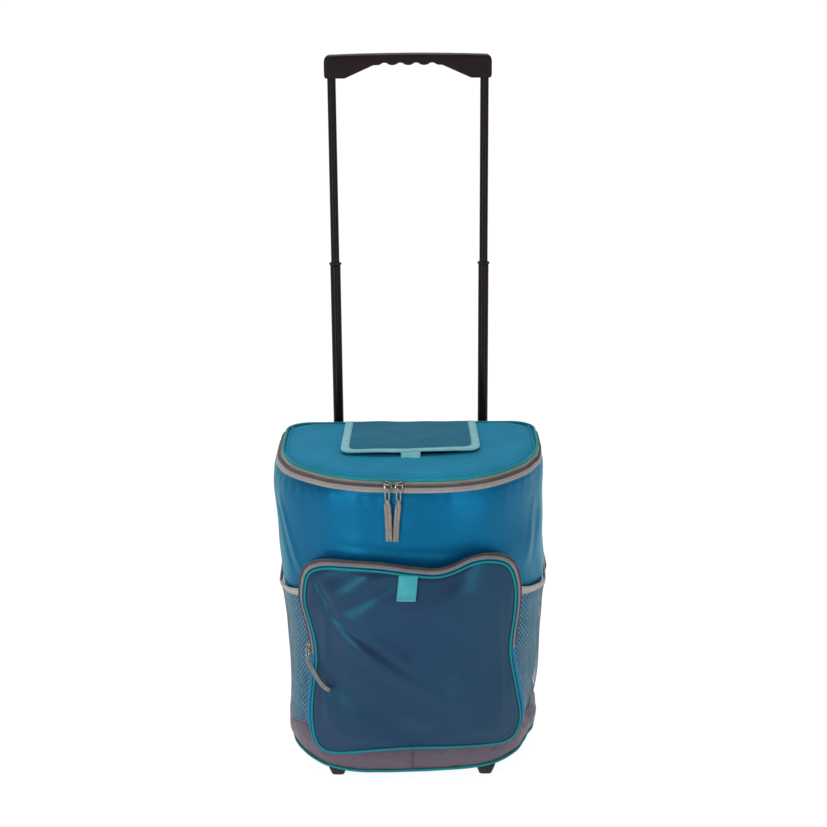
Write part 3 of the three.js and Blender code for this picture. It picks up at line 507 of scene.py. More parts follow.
def normals_along(normals, shares):
    """Unit normals at shares of a path's length, between the given ones."""
    places = np.linspace(0, 1, len(normals))
    return unit(np.stack([np.interp(shares, places, normals[:, k]) for k in range(3)], 1))


def stitches(name, path, normals, look, body, length=2.4 * MM, radius=0.32 * MM):
    """A row of thread stitches lying on a seam line; normals is one direction or one for each point."""
    gap = 1.0 * MM
    centres, _ = resample(path, length + gap)
    normals = np.broadcast_to(normals, path.shape)
    facing = normals_along(normals, np.linspace(0, 1, len(centres)))
    tangents = directions(centres, False)
    side = np.cross(tangents, facing)
    section = [(-0.5, 0.25), (-0.3, 0.9), (0.3, 0.9), (0.5, 0.25)]
    vertices, faces = [], []
    for centre, forward, across, out in zip(centres, tangents, side, facing):
        first = len(vertices)
        for along, swell in section:
            for turn in range(4):
                angle = math.pi * (0.25 + 0.5 * turn)
                rim = across * math.cos(angle) + out * math.sin(angle)
                vertices.append(centre + forward * along * length + rim * radius * swell)
        for ring in range(3):
            for turn in range(4):
                a = first + ring * 4 + turn
                b = first + ring * 4 + (turn + 1) % 4
                faces.append((a, b, b + 4, a + 4))
        faces.append(tuple(first + i for i in range(4)))
        faces.append(tuple(first + 12 + i for i in (3, 2, 1, 0)))
    add_piece(name, vertices, faces, look, body)


def coil(name, path, normals, look, body, start=0.0):
    """The nylon spiral of one side of a zipper, wound along its path."""
    radius, pitch, wire = 1.1 * MM, 1.5 * MM, 0.34 * MM
    points_per_turn = 7
    centres, run = resample(path, pitch / points_per_turn)
    facing = normals_along(normals, run / run[-1])
    side = np.cross(directions(centres, False), facing)
    turn = 2 * math.pi * run / pitch + start
    offset = 1.25 * np.cos(turn)[:, None] * side + 0.8 * np.sin(turn)[:, None] * facing
    tube(name, centres + radius * offset, wire, look, body, sides=4, up=(0.3, 0.2, 1))


# ---------------------------------------------------------------- the bag's outline
def outline_table():
    """Points, outward normals and lengths round the lid's outline, clockwise from the back's middle."""
    s, c = math.sin(FRONT_ARC_HALF_ANGLE), math.cos(FRONT_ARC_HALF_ANGLE)
    share = s * c - (1 - s) * (1 - c)
    front_radius = (LID_HALF_WIDTH * c - FRONT_ROUND_LENGTH * (1 - s)) / share
    side_radius = (FRONT_ROUND_LENGTH * s - LID_HALF_WIDTH * (1 - c)) / share
    limit = FRONT_ARC_HALF_ANGLE - math.pi / 2
    corner = (LID_HALF_WIDTH - BACK_CORNER_RADIUS, LID_BACK - BACK_CORNER_RADIUS)
    side_centre = (LID_HALF_WIDTH - side_radius, LID_FRONT + FRONT_ROUND_LENGTH)
    arcs = [
        (corner, BACK_CORNER_RADIUS, math.pi / 2, 0),
        (side_centre, side_radius, 0, limit),
        ((0, LID_FRONT + front_radius), front_radius, limit, -math.pi / 2),
    ]
    points, normals = [(0, LID_BACK)], [(0, 1)]
    for centre, radius, begin, end in arcs:
        for angle in np.linspace(begin, end, 60):
            normal = (math.cos(angle), math.sin(angle))
            points.append((centre[0] + radius * normal[0], centre[1] + radius * normal[1]))
            normals.append(normal)
    right = np.hstack([points, normals])
    left = right[-2::-1] * np.array([-1, 1, -1, 1])
    table = np.vstack([right, left])
    run = np.concatenate([[0], np.cumsum(np.hypot(*np.diff(table[:, :2], axis=0).T))])
    keep = np.concatenate([[True], np.diff(run) > 1e-7])
    return table[keep], run[keep]


OUTLINE, OUTLINE_RUN = outline_table()
OUTLINE_LENGTH = OUTLINE_RUN[-1]


def plan(s):
    """x, y and outward normal of the lid's outline at length s."""
    s = np.mod(s, OUTLINE_LENGTH)
    return [np.interp(s, OUTLINE_RUN, OUTLINE[:, k]) for k in range(4)]


def length_at_angle(degrees, side):
    """Length along the outline where it faces this far from the front, on the right (1) or left (-1)."""
    normals = OUTLINE[:, 2:]
    facing = np.degrees(np.arctan2(normals[:, 0] * side, -normals[:, 1]))
    half = OUTLINE_RUN <= OUTLINE_LENGTH / 2 if side > 0 else OUTLINE_RUN >= OUTLINE_LENGTH / 2
    order = np.argsort(facing[half])
    return float(np.interp(degrees, facing[half][order], OUTLINE_RUN[half][order]))


# How far the soft body stands outside the lid's outline on its left, right, front and back, in
# millimetres by height
LEFT_SIDE = profile([(25, -4.5), (38, -1.7), (55, 0.5), (82, -2.6), (108, -3.3), (134, -2.8), (160, -1.5),
                     (186, -0.3), (205, 1.5), (220, 3.2), (237, 6.5), (254, 9.8), (279, 10.7), (312, 10.9),
                     (345, 12.5), (378, 15.3), (386, 15), (394, 13.2), (400, 10.5)])
RIGHT_SIDE = profile([(25, 0), (35, 1.5), (44, 1.2), (53, -2), (62, -1.8), (79, 0.5), (106, 3.5), (132, 4.3),
                      (158, 4.9), (183, 6.6), (209, 7.8), (222, 9.4), (236, 11.4), (251, 12.6), (276, 11.3),
                      (310, 10.7), (343, 9.7), (375, 9.3), (391, 8.6), (400, 7.4)])
FRONT_SIDE = profile([(25, 0), (60, 0.5), (215, 3), (245, 6), (270, 10), (300, 13), (330, 13.5), (376, 13.2),
                      (388, 12.4), (396, 11), (400, 9.8)])
BACK_SIDE = profile([(25, -2), (60, -0.6), (380, -0.6), (400, -1)])

# Uneven fullness of the outline, in millimetres by length from the middle of the front, right positive
TOP_SHAPE = profile([(-262, 0), (-226, -1), (-185, -6.5), (-155, -6.5), (-125, -4), (-95, 0), (-60, 1),
                     (-30, -0.5), (0, 0), (30, 1.8), (60, 3.3), (85, 2.6), (110, -1.5), (145, -8.5),
                     (180, -10), (215, -4), (255, 0)])
BASE_SHAPE = profile([(-260, 0), (-199, -2.6), (-184, -2.1), (-153, 1), (-123, 9.5), (-103, 14.6),
                      (-81, 15.2), (-57, 12.6), (-41, 8.8), (8, 3.3), (30, 3.5), (73, 7.6), (96, 9),
                      (117, 5.4), (139, -1.3), (172, -10.5), (190, -11.5), (215, -5), (255, 0)])


def from_front(s):
    """Length from the middle of the front, positive on the right."""
    return OUTLINE_LENGTH / 2 - np.mod(s, OUTLINE_LENGTH)


def round_outline(count):
    """Evenly spaced lengths once round the outline."""
    return np.linspace(0, OUTLINE_LENGTH, count, endpoint=False)


# Creases of the body's front over the pocket: start, end, width and height in millimetres, where the
# first place is a length from the middle of the front and a dip has a negative height
FRONT_CREASES = [
    ((-100, 330), (70, 318), 4, -1.0),
    ((-70, 340), (85, 331), 4.5, 0.6),
    ((-120, 318), (-20, 325), 3, 0.4),
]

# Slanting folds below the body's two upper corners
CORNER_FOLDS = [
    ((-190, 385), (-140, 262), 4.5, 1.7),
    ((-205, 375), (-152, 258), 5, -1.5),
    ((190, 375), (150, 275), 6, 1.4),
    ((205, 360), (168, 262), 6, -1.2),
]


def body_offset(s, z):
    """Offset of the soft body from the lid's outline, at length s and height z."""
    height = z / MM
    _, _, nx, ny = plan(s)
    sides = np.where(nx > 0, RIGHT_SIDE(height), LEFT_SIDE(height)) * nx**2
    ends = np.where(ny < 0, FRONT_SIDE(height), BACK_SIDE(height)) * ny**2
    low = 1 - smooth((height - 60) / 170)
    place = from_front(s) / MM
    return MM * (sides + ends + BASE_SHAPE(place) * low + TOP_SHAPE(place) * (1 - low))


def lid_rise(y):
    """How much the sloping lid stands above its front edge, at depth y."""
    return LID_RISE * np.clip((y - LID_FRONT) / (LID_BACK - LID_FRONT), 0, 1)


def on_body(s, z, out=0.0):
    """Points standing out from the body by out, at length s and height z."""
    s, z, out = np.broadcast_arrays(np.asarray(s, float), np.asarray(z, float), np.asarray(out, float))
    x, y, nx, ny = plan(s)
    reach = body_offset(s, z) + out
    return np.stack([x + nx * reach, y + ny * reach, z], -1)


def on_lid(s, offset, z):
    """Points at an offset from the lid's edge, which slopes up to the back."""
    s, offset, z = np.broadcast_arrays(np.asarray(s, float), np.asarray(offset, float), np.asarray(z, float))
    x, y, nx, ny = plan(s)
    reach = offset + MM * TOP_SHAPE(from_front(s) / MM)
    y = y + ny * reach
    return np.stack([x + nx * reach, y, z + lid_rise(y)], -1)


def outward(s):
    """Unit directions out of the outline."""
    _, _, nx, ny = plan(s)
    return unit(np.stack([nx, ny, np.zeros_like(nx)], -1))


# ---------------------------------------------------------------- bag body
def body_creases(s, z):
    """Creases of the body's cloth: gathers under the zipper, swells and folds over the pocket."""
    ny = plan(s)[3]
    below_zip = smooth((z - 368 * MM) / (24 * MM)) * (1 - smooth((z - 396 * MM) / (4 * MM)))
    gathers = ripple(s, z * 0.5, 13 * MM, 3) * 0.32 * MM * below_zip
    swell = ripple(s * 0.8, z, 95 * MM, 5) * 1.3 * MM
    across = from_front(s)
    creases = folds(across, z, FRONT_CREASES) * np.where(ny < -0.6, 1.0, 0.0)
    creases = creases + folds(across, z, CORNER_FOLDS)
    held = smooth((z - 30 * MM) / (30 * MM)) * (1 - smooth((z - 392 * MM) / (8 * MM)))
    flat_back = np.where(ny > 0.7, 0.2, 1.0)
    return (gathers + (swell + creases) * held) * flat_back


def build_body():
    columns, rows = 420, 120
    s = round_outline(columns)
    z = np.linspace(BAG_BOTTOM + 0.6 * MM, BAG_TOP + 2 * MM, rows)[:, None]
    points = on_body(s[None, :], z, body_creases(*np.broadcast_arrays(s[None, :], z)))
    middle = np.array([0, 0, BAG_BOTTOM])
    lift = [0, 0, 0.3 * MM]
    underside = [middle + (points[0] - middle) * share * [1, 1, 0] + lift for share in (0.02, 0.5, 0.9)]
    hem = on_body(s, BAG_TOP, -1.2 * MM) + [0, 0, 2.6 * MM]
    skin = np.vstack([np.array(underside), points, hem[None]])
    piece = lattice("body_cloth", skin, "body_blue", ROOT, close_columns=True)
    thicken(piece, 1.1 * MM)
    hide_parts("body_shell")
    seam_run = np.linspace(0, OUTLINE_LENGTH, 900)
    seam = on_body(seam_run, BAG_TOP - 3.8 * MM, 0.25 * MM)
    stitches("body_top_stitching", seam, outward(seam_run), "thread_blue", ROOT)


def build_lining():
    """Foam wall and silver film inside the cloth."""
    s = round_outline(300)
    walls = (("foam_wall", "foam_white", "insulation", -6.4 * MM, -11.4 * MM, 6 * MM),
             ("liner_film_shell", "liner_silver", "liner", -11.8 * MM, -12.8 * MM, 12 * MM))
    for name, look, node, outer, inner, floor in walls:
        heights = np.linspace(BAG_BOTTOM + floor, BAG_TOP - 1 * MM, 26)
        puckers = ripple(s, s * 0, 24 * MM, 81) * 0.5 * MM
        rings = [on_body(s, z, outer + puckers) for z in heights]
        rings += [on_body(s, z, inner + puckers) for z in heights[::-1]]
        flat = heights[0] + (outer - inner)
        rings[-1][:, 2] = flat
        centre = np.array([0, 0, flat])
        rings += [centre + (rings[-1] - centre) * share for share in (0.6, 0.02)]
        under = np.array([0, 0, heights[0]])
        rings = [under + (rings[0] - under) * share for share in (0.02, 0.6)] + rings
        shell = lattice(name, np.array(rings), look, ROOT, close_columns=True, caps=True)
        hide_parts(node)


# ---------------------------------------------------------------- base band and piping
# Height of the band's top edge in millimetres, by degrees from the front
BAND_TOP = profile([(0, 60), (22, 64), (38, 71), (60, 64), (90, 56), (180, 56)])
BAND_BOTTOM = BAG_BOTTOM + 3 * MM


def build_base():
    s = round_outline(420)
    top, padding, at_back = band_shape(s)
    rings = []
    for share in np.linspace(0, 1, 24):
        z = BAND_BOTTOM + share * (top - BAND_BOTTOM)
        belly = math.sin(math.pi * min(1, share * 1.02 + 0.02)) ** 0.42
        wrinkles = ripple(s, z * 0.6, 30 * MM, 11) * 0.7 * MM
        wrinkles = wrinkles + ripple(s * 0.7, z * 1.6, 11 * MM, 12) * 0.3 * MM
        out = 0.7 * MM + (padding + wrinkles * (1 - at_back)) * belly
        rings.append(on_body(s, z, out))
    inside = [on_body(s, top, -0.8 * MM), on_body(s, BAND_BOTTOM, -0.8 * MM)]
    band = lattice("base_band_cloth", np.array(rings + inside), "base_grey", ROOT, True, True)
    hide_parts("base_band")

    piping = on_body(s, BAG_BOTTOM + 2 * MM, padding * 0.75)
    cord = tube("base_piping_cord", piping, PIPING_RADIUS, "piping_teal", ROOT, 12, closed=True)
    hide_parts("base_piping")
    dense = np.linspace(0, OUTLINE_LENGTH, 900)
    top, padding, _ = band_shape(dense)
    for name, height, out in (("top", top - 2.6 * MM, 0.9), ("bottom", BAND_BOTTOM + 3.2 * MM, 0.86)):
        line = on_body(dense, height, 0.9 * MM + padding * out * 0.72)
        stitches(f"band_stitching_{name}", line, outward(dense), "thread_grey", ROOT, radius=0.28 * MM)
    z = np.linspace(BAND_BOTTOM + 1 * MM, 58 * MM, 30)
    seam = on_body(length_at_angle(0, 1), z, 5.3 * MM)
    tube("band_front_seam", seam, 0.5 * MM, "base_grey", ROOT, 6, up=(0, 1, 0))


def band_shape(s):
    """Height of the base band's top edge, its padding, and how far round the back it is."""
    _, _, nx, ny = plan(s)
    at_back = smooth((ny - 0.3) / 0.6)
    padding = (1 - at_back) * 4.4 * MM + at_back * 0.9 * MM
    top = BAND_TOP(np.degrees(np.arctan2(np.abs(nx), -ny))) * MM
    return top, padding, at_back


# ---------------------------------------------------------------- lid
HATCH = {"half_width": 70 * MM, "front": LID_FRONT + 99 * MM, "back": LID_FRONT + 205 * MM}
HATCH_MIDDLE = np.array([0, (HATCH["front"] + HATCH["back"]) / 2])


def hatch_rim(angles):
    """Where rays from the middle of the hatch at these angles meet its rounded rectangle."""
    half = np.array([HATCH["half_width"], (HATCH["back"] - HATCH["front"]) / 2])
    direction = np.stack([np.sin(angles), np.cos(angles)], 1)
    squareness = 9
    reach = (np.abs(direction / half) ** squareness).sum(1) ** (-1 / squareness)
    return HATCH_MIDDLE + direction * reach[:, None]


def build_lid():
    s = round_outline(300)
    edge = on_lid(s, 0.6 * MM, 0)[:, :2]
    hole = hatch_rim(np.arctan2(*(edge - HATCH_MIDDLE).T))
    top_edge = LID_TOP - 3.2 * MM
    bottom = low_of("lid_foam").z + 0.2 * MM
    rings = []
    for share in np.concatenate([np.linspace(0, 0.2, 14), np.linspace(0.23, 1, 24)]):
        place = edge + (hole - edge) * share
        from_edge = np.linalg.norm(place - edge, axis=1)
        from_hole = np.linalg.norm(place - hole, axis=1)
        crown = 4.2 * MM * smooth(from_edge / (20 * MM)) * smooth((from_hole + 4 * MM) / (12 * MM))
        seam = -1.3 * MM * bump(from_edge, 3.4 * MM, 1.8 * MM)
        swell = ripple(place[:, 0], place[:, 1], 60 * MM, 21) * 0.4 * MM * smooth(from_edge / (20 * MM))
        height = top_edge + crown + seam + swell + lid_rise(place[:, 1])
        rings.append(np.column_stack([place, height]))
    under = [np.column_stack([hole, bottom + lid_rise(hole[:, 1])]),
             np.column_stack([edge - (edge - HATCH_MIDDLE) * 0.02, np.full(len(s), bottom)])]
    pad = lattice("lid_pad", np.array(rings + under), "lid_blue", "lid", True, True)
    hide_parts("lid_cover", "lid_foam")

    dense = on_lid(round_outline(700), 2.4 * MM, LID_TOP - 1.9 * MM)
    cord = tube("lid_piping_cord", dense, PIPING_RADIUS, "piping_teal", "lid", 12, closed=True)
    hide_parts("lid_piping")

    rim = hatch_rim(full_turn(200))
    rim_path = np.column_stack([rim, top_edge + lid_rise(rim[:, 1])])
    tube("hatch_rim_binding", rim_path, 1.8 * MM, "binding_turquoise", "lid", 8, closed=True)


def build_lid_hinge_cloth():
    """The strip of body cloth that joins the back of the bag to the back of the lid."""
    right = length_at_angle(128, 1)
    s = np.linspace(-right, right, 160)
    low = on_body(s, BAG_TOP - 2 * MM, 0.3 * MM)
    high = on_lid(s, 1.0 * MM, LID_TOP - 3.2 * MM)
    rows = []
    for share in np.linspace(0, 1, 14):
        belly = 0.7 * MM * math.sin(math.pi * share)
        rows.append(low + (high - low) * share + outward(s) * belly)
    strip = lattice("lid_hinge_cloth", np.array(rows), "body_blue", None)
    thicken(strip, 0.7 * MM, 0.0)
    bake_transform(strip)


# ---------------------------------------------------------------- zippers
ZIP_LIMIT = 126  # degrees from the front where the lid's zipper ends, on both sides


def zip_point(s, share, lift=0.0):
    """Point of the lid's zipper: share 0 is its edge on the bag, 1 its edge on the lid."""
    low = on_body(s, BAG_TOP, 0.4 * MM) + np.array([0, 0, ZIP_HEIGHTS[0] - BAG_TOP])
    high = on_lid(s, ZIP_TOP_OFFSET, ZIP_HEIGHTS[1])
    share = np.asarray(share, float)
    out = zip_normal(s)
    belly = 0.5 * MM * np.sin(math.pi * share)
    return low + (high - low) * share[..., None] + out * (lift + belly)[..., None]


def zip_normal(s):
    """Direction out of the zipper's sloping band."""
    _, _, nx, ny = plan(s)
    rise = on_lid(s, ZIP_TOP_OFFSET, ZIP_HEIGHTS[1]) - on_body(s, BAG_TOP, 0.0)
    normal = unit(np.cross(rise, np.stack([-ny, nx, np.zeros_like(nx)], -1)))
    return normal * np.sign((normal * outward(s)).sum(-1, keepdims=True))


def build_lid_zipper():
    s = np.linspace(length_at_angle(ZIP_LIMIT, 1), length_at_angle(ZIP_LIMIT, -1), 900)
    up = zip_normal(s)
    halves = [
        ("body_zip", (-0.10, 0.52), 0.50, 0.16, ROOT, "body_zip_tape"),
        ("lid_zip", (0.56, 1.06), 0.66, 0.86, "lid", "lid_zip_tape"),
    ]
    for name, span, teeth_at, seam_at, body, node in halves:
        rows = [zip_point(s, np.full(len(s), share)) for share in np.linspace(*span, 6)]
        tape = lattice(f"{name}_cloth", np.array(rows), "zip_grey", body)
        thicken(tape, 0.7 * MM, 0.0)
        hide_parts(node)
        teeth = zip_point(s, np.full(len(s), teeth_at), 0.7 * MM)
        coil(f"{name}_coil", teeth, up, "zip_coil", body, start=0 if body == "lid" else math.pi)
        line = zip_point(s, np.full(len(s), seam_at), 0.45 * MM)
        stitches(f"{name}_stitching", line, up, "thread_grey", body, radius=0.26 * MM)


def slider_points():
    """Outline of a zipper slider seen from above, its wide end first."""
    half = [(0, 5.4), (2.6, 5.3), (4.4, 4.4), (4.9, 2.6), (4.5, 0.6), (3.7, -1.6), (3.4, -4.0), (2.6, -5.0),
            (0, -5.2)]
    return np.array(half + [(-x, y) for x, y in half[-2:0:-1]]) * MM


class Place:
    """A local frame: origin, and the directions across, along and out of a surface."""

    def __init__(self, origin, along, out):
        self.origin = np.asarray(origin, float)
        self.out = unit(np.asarray(out, float))
        along = np.asarray(along, float)
        self.along = unit(along - self.out * np.dot(along, self.out))
        self.across = np.cross(self.along, self.out)

    def at(self, across, along, out):
        across, along, out = np.broadcast_arrays(across, along, out)
        return (self.origin + across[..., None] * self.across + along[..., None] * self.along
                + out[..., None] * self.out)


def build_slider(name, place, body, node):
    """Cast slider: two plates, the neck between them and the bridge that carries the pull."""
    x, y = curve_through(slider_points(), 48, closed=True).T
    levels = [(-1.7, 0.86), (-1.5, 1.0), (-0.6, 1.0), (-0.5, 0.9), (0.4, 0.9), (0.5, 1.0), (1.3, 1.0),
              (1.7, 0.88), (1.9, 0.6)]
    rings = [place.at(x * grow, y * grow, level * MM) for level, grow in levels]
    plates = lattice(f"{name}_plates", np.array(rings), "slider_metal", body, close_columns=True, caps=True)
    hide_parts(node)
    turns = np.linspace(0, math.pi, 15)
    bridge = place.at(0 * turns, 4.2 * MM * np.cos(turns), 1.6 * MM + 2.3 * MM * np.sin(turns))
    tube(f"{name}_bridge", bridge, 0.75 * MM, "slider_metal", body, 8, up=place.across)


def build_link(name, hang, body, node, half_width, middle, half_length):
    """A zipper pull's wire link: a long loop with rounded ends."""
    turns = full_turn(40)
    across = half_width * np.sign(np.cos(turns)) * np.abs(np.cos(turns)) ** 0.6
    along = middle + half_length * np.sign(np.sin(turns)) * np.abs(np.sin(turns)) ** 0.75
    wire = hang.at(across, along, 0 * turns)
    link = tube(f"{name}_link", wire, 0.95 * MM, "slider_metal", body, 8, closed=True, up=hang.out)
    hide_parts(node)


def build_pull(name, hang, body, node, half_gap, sway):
    """A wire link and a folded cord, hanging along -along of the local frame."""
    link_length, cord_length = 17 * MM, 50 * MM
    build_link(name, hang, body, node, 2.3 * MM, -link_length / 2, link_length / 2)
    top = -link_length + 1.4 * MM
    runs = []
    for side in (-1, 1):
        share = np.linspace(0, 1, 9)
        width = half_gap * smooth(share / 0.12) * (1 - 0.12 * share)
        lean = sway * (share**1.6 + 0.35 * np.sin(math.pi * share))
        depth = 0.8 * MM * np.sin(2.4 * share + side)
        runs.append(np.stack([side * width + lean, top - cord_length * share, depth], 1))
    path = np.vstack([runs[0][::-1], [(0, top + 1.5 * MM, 0)], runs[1]])
    x, y, z = curve_through(path, 110).T
    radii = half_gap * 1.05 * (1 + 0.05 * np.sin(np.linspace(0, 38, 110)))
    tube(f"{name}_cord", hang.at(x, y, z), radii, "cord_grey", body, 12, up=hang.out)


def s_at_x(x):
    """Length along the outline of the front's point with this x."""
    front = np.linspace(length_at_angle(30, 1), length_at_angle(30, -1), 400)
    places = on_body(front, BAG_TOP)[:, 0]
    order = np.argsort(places)
    return float(np.interp(x, places[order], front[order]))


def build_lid_sliders():
    for side, half_gap, sway in (("left", 2.1 * MM, 1.8 * MM), ("right", 1.75 * MM, -3.6 * MM)):
        node = f"lid_slider_{side}"
        s = s_at_x(middle_of(node).x - 1.2 * MM)
        seat = zip_point(s, np.array(0.58), 2.0 * MM)
        radial = outward(s)
        tangent = np.cross(radial, (0, 0, 1)) * (-1 if side == "right" else 1)
        seat_frame = Place(seat, tangent, zip_normal(s))
        build_slider(f"zip_slider_{side}", seat_frame, f"lid_slider_{side}_body", node)
        pull = f"lid_pull_{side}"
        pivot = on_body(s, BAG_TOP, 5.4 * MM)
        pivot[2] = high_of(pull).z + 2.2 * MM
        hang = Place(pivot, (0, 0, 1), radial)
        build_pull(f"zip_pull_{side}", hang, f"lid_pull_{side}_body", pull, half_gap, sway)


# ---------------------------------------------------------------- hatch flap
FLAP_HALF_WIDTH = high_of("hatch_binding").x + 1 * MM
FLAP_BACK = high_of("hatch_binding").y + 0.4 * MM
FLAP_FRONT = low_of("hatch_binding").y - 0.5 * MM
FLAP_BASE = LID_TOP + 0.6 * MM
BINDING_WIDTH = 10 * MM


def flap_height(x, y):
    """Height of the flap's cloth: flat at its seam, bulging, with a front lip lifted off the lid."""
    forward = np.clip((FLAP_BACK - y) / (FLAP_BACK - FLAP_FRONT), 0, 1.1)
    across = np.abs(x) / FLAP_HALF_WIDTH
    bulge = 6.2 * MM * smooth(forward / 0.8) * (1 - 0.25 * across**4)
    droop = 0.3 * MM * smooth((forward - 0.86) / 0.14)
    seat = (LID_RISE + 0.6 * MM) * (1 - forward)
    return FLAP_BASE + 0.4 * MM + seat + bulge + droop + ripple(x, y, 50 * MM, 31) * 0.4 * MM


def flap_points(inset, columns, rows):
    """Even lattice over the flap inside its edge, with rounded front corners."""
    across = np.linspace(-1, 1, columns)[None, :]
    forward = np.linspace(0, 1, rows)[:, None]
    half = FLAP_HALF_WIDTH - inset
    front = FLAP_FRONT + inset
    corner = 14 * MM - 0.5 * inset
    past = np.clip(np.abs(across) * half - (half - corner), 0, corner)
    slant = 4 * MM * across + 6 * MM * across**2
    edge_front = front + slant + (corner - np.sqrt(corner**2 - past**2)) * 1.15
    x = across * half * (1 + 0.014 * (forward - 0.5)) + 0 * forward
    y = FLAP_BACK + (edge_front - FLAP_BACK) * forward
    return np.stack([x, y, flap_height(x, y)], -1)


def build_hatch():
    panel = flap_points(2 * MM, 90, 70)
    cloth = lattice("hatch_flap_cloth", panel, "flap_teal", "hatch")
    thicken(cloth, 1.3 * MM, 0.0)
    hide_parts("hatch_flap")

    edge = flap_points(0, 160, 120)
    inner = flap_points(BINDING_WIDTH, 160, 120)
    outside, inside = (np.vstack([grid[:, 0], grid[-1, 1:-1], grid[::-1, -1]]) for grid in (edge, inner))

    def binding_line(share, rise):
        """The binding's line at a share of its width, rise over the flap's cloth."""
        line = outside + (inside - outside) * share
        line[:, 2] = flap_height(line[:, 0], line[:, 1]) + rise
        return line

    section = [(0.0, -1.0), (-0.05, 0.0), (0.0, 0.9), (0.35, 1.2), (0.8, 1.15), (1.0, 0.9), (1.0, 0.5),
               (0.5, 0.6), (0.5, -0.5), (1.0, -0.6), (1.0, -0.9), (0.5, -1.1)]
    rings = [binding_line(share, rise * MM) for share, rise in section]
    binding = lattice("hatch_binding_tape", np.array(rings), "binding_turquoise", "hatch", close_rows=True)
    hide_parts("hatch_binding")
    stitches("hatch_stitching", binding_line(0.88, 1.15 * MM), (0, 0, 1), "thread_grey", "hatch",
             length=2 * MM, radius=0.22 * MM)

    left, right = low_of("hatch_tab").x - 3.8 * MM, high_of("hatch_tab").x - 3.4 * MM
    x = np.linspace(left, right, 14)[None, :]
    out = np.linspace(-5.5, 20, 22)[:, None] * MM
    lip = flap_height(x, FLAP_FRONT + 0 * x) - 1.1 * MM
    on_top = 2.4 * MM * smooth(-out / (4.5 * MM))
    drop = lip + on_top - 5.4 * MM * smooth((out - 0.5 * MM) / (9 * MM)) + 0.25 * MM * np.sin(x * 400)
    tab_points = np.stack([x + 0 * out, FLAP_FRONT - out + 0 * x, drop], -1)
    tab = lattice("hatch_tab_tape", tab_points, "binding_turquoise", "hatch")
    thicken(tab, 1.2 * MM, 0.0)
    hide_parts("hatch_tab")


# ---------------------------------------------------------------- front pocket
# Outline of the front panel seen from the front, x and height in millimetres, clockwise
POCKET_OUTLINE = [
    (-126, 288), (-113, 300.4), (-90, 305.4), (-40, 307), (5, 302), (30, 299.6), (50, 303), (74, 311.8),
    (94, 312.4), (113, 305.5), (122.6, 292), (127.4, 268), (126.6, 240), (122, 204), (122.3, 180),
    (128.5, 143), (135, 106), (135, 87), (128, 72), (115, 66.3), (95, 67.7), (50, 72.2), (0, 74),
    (-45, 69), (-88, 59.5), (-107, 57.4), (-119, 65), (-124.3, 83), (-125.2, 110), (-121.5, 146),
    (-117.6, 180), (-119.4, 208), (-126, 235), (-130.5, 258),
]
POCKET_ZIP_LOW = {"left": 184 * MM, "right": 190 * MM}  # heights of the zipper's two ends


def pocket_y(x, out=0.0):
    """Depth of the arc that the front panel's edge lies on."""
    return POCKET_CENTRE_Y - np.sqrt(np.maximum((POCKET_RADIUS + out) ** 2 - np.asarray(x) ** 2, 1e-9))


def pocket_edge(count):
    """Points (x, z) round the panel's outline and the directions out of it."""
    edge = curve_through(np.array(POCKET_OUTLINE) * MM, count, closed=True)
    along = directions(np.column_stack([edge, np.zeros(count)]), True)
    return edge, np.stack([-along[:, 1], along[:, 0]], 1)


# Folds of the front panel: start, end, width and height in millimetres (a dip is negative)
PANEL_FOLDS = [
    ((-122, 298), (-86, 232), 3.5, -2.2),
    ((-108, 253), (22, 160), 6.5, -3.4),
    ((-104, 236), (95, 110), 17, 5.6),
    ((-124, 176), (45, 62), 17, -4.2),
    ((-96, 243), (-4, 304), 8, -2.6),
    ((-112, 268), (-30, 312), 13, 3.4),
    ((-35, 212), (75, 150), 11, 1.2),
    ((-106, 286), (-104, 76), 4.5, 1.6),
    ((106, 290), (112, 85), 4.5, 1.2),
    ((-95, 82), (105, 90), 8, 0.9),
]


def panel_crown(x, z, inside):
    """How far the panel's cloth stands proud: a soft belly with folds fanning from near its top left."""
    belly = 5.5 * MM * smooth(inside / (45 * MM))
    rim = 1.8 * MM * smooth(inside / (6 * MM))
    swell = ripple(x, z, 80 * MM, 41) * 0.5 * MM
    return belly + rim + (folds(x, z, PANEL_FOLDS) + swell) * smooth(inside / (9 * MM))


def pocket_surface(x, z, inside):
    return np.stack([x, pocket_y(x, panel_crown(x, z, inside)), z], -1)


def build_pocket_panel():
    count = 260
    edge, _ = pocket_edge(count)
    centre = edge.mean(0)
    rings = []
    for share in np.concatenate([np.linspace(0, 0.12, 9), np.linspace(0.14, 0.985, 46)]):
        place = edge + (centre - edge) * share
        inside = np.linalg.norm(edge - centre, axis=1) * share
        rings.append(pocket_surface(place[:, 0], place[:, 1], inside * 0.92))
    panel = lattice("pocket_panel_cloth", np.array(rings), "pocket_navy", ROOT, close_columns=True, caps=True)
    drop_back_cap(panel)
    thicken(panel, 1.2 * MM)
    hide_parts("pocket_panel")

    path = np.column_stack([edge[:, 0], pocket_y(edge[:, 0], 0.6 * MM), edge[:, 1]])
    cord = tube("pocket_piping_cord", path, 1.45 * MM, "piping_teal", ROOT, 12, closed=True, up=(0, -1, 0))
    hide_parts("pocket_piping")
    seam_edge = edge + (centre - edge) * 0.035
    seam = pocket_surface(seam_edge[:, 0], seam_edge[:, 1], np.full(count, 4.0 * MM))
    seam[:, 1] -= 0.3 * MM
    stitches("pocket_stitching", np.vstack([seam, seam[:1]]), (0, -1, 0), "thread_blue", ROOT,
             radius=0.25 * MM)


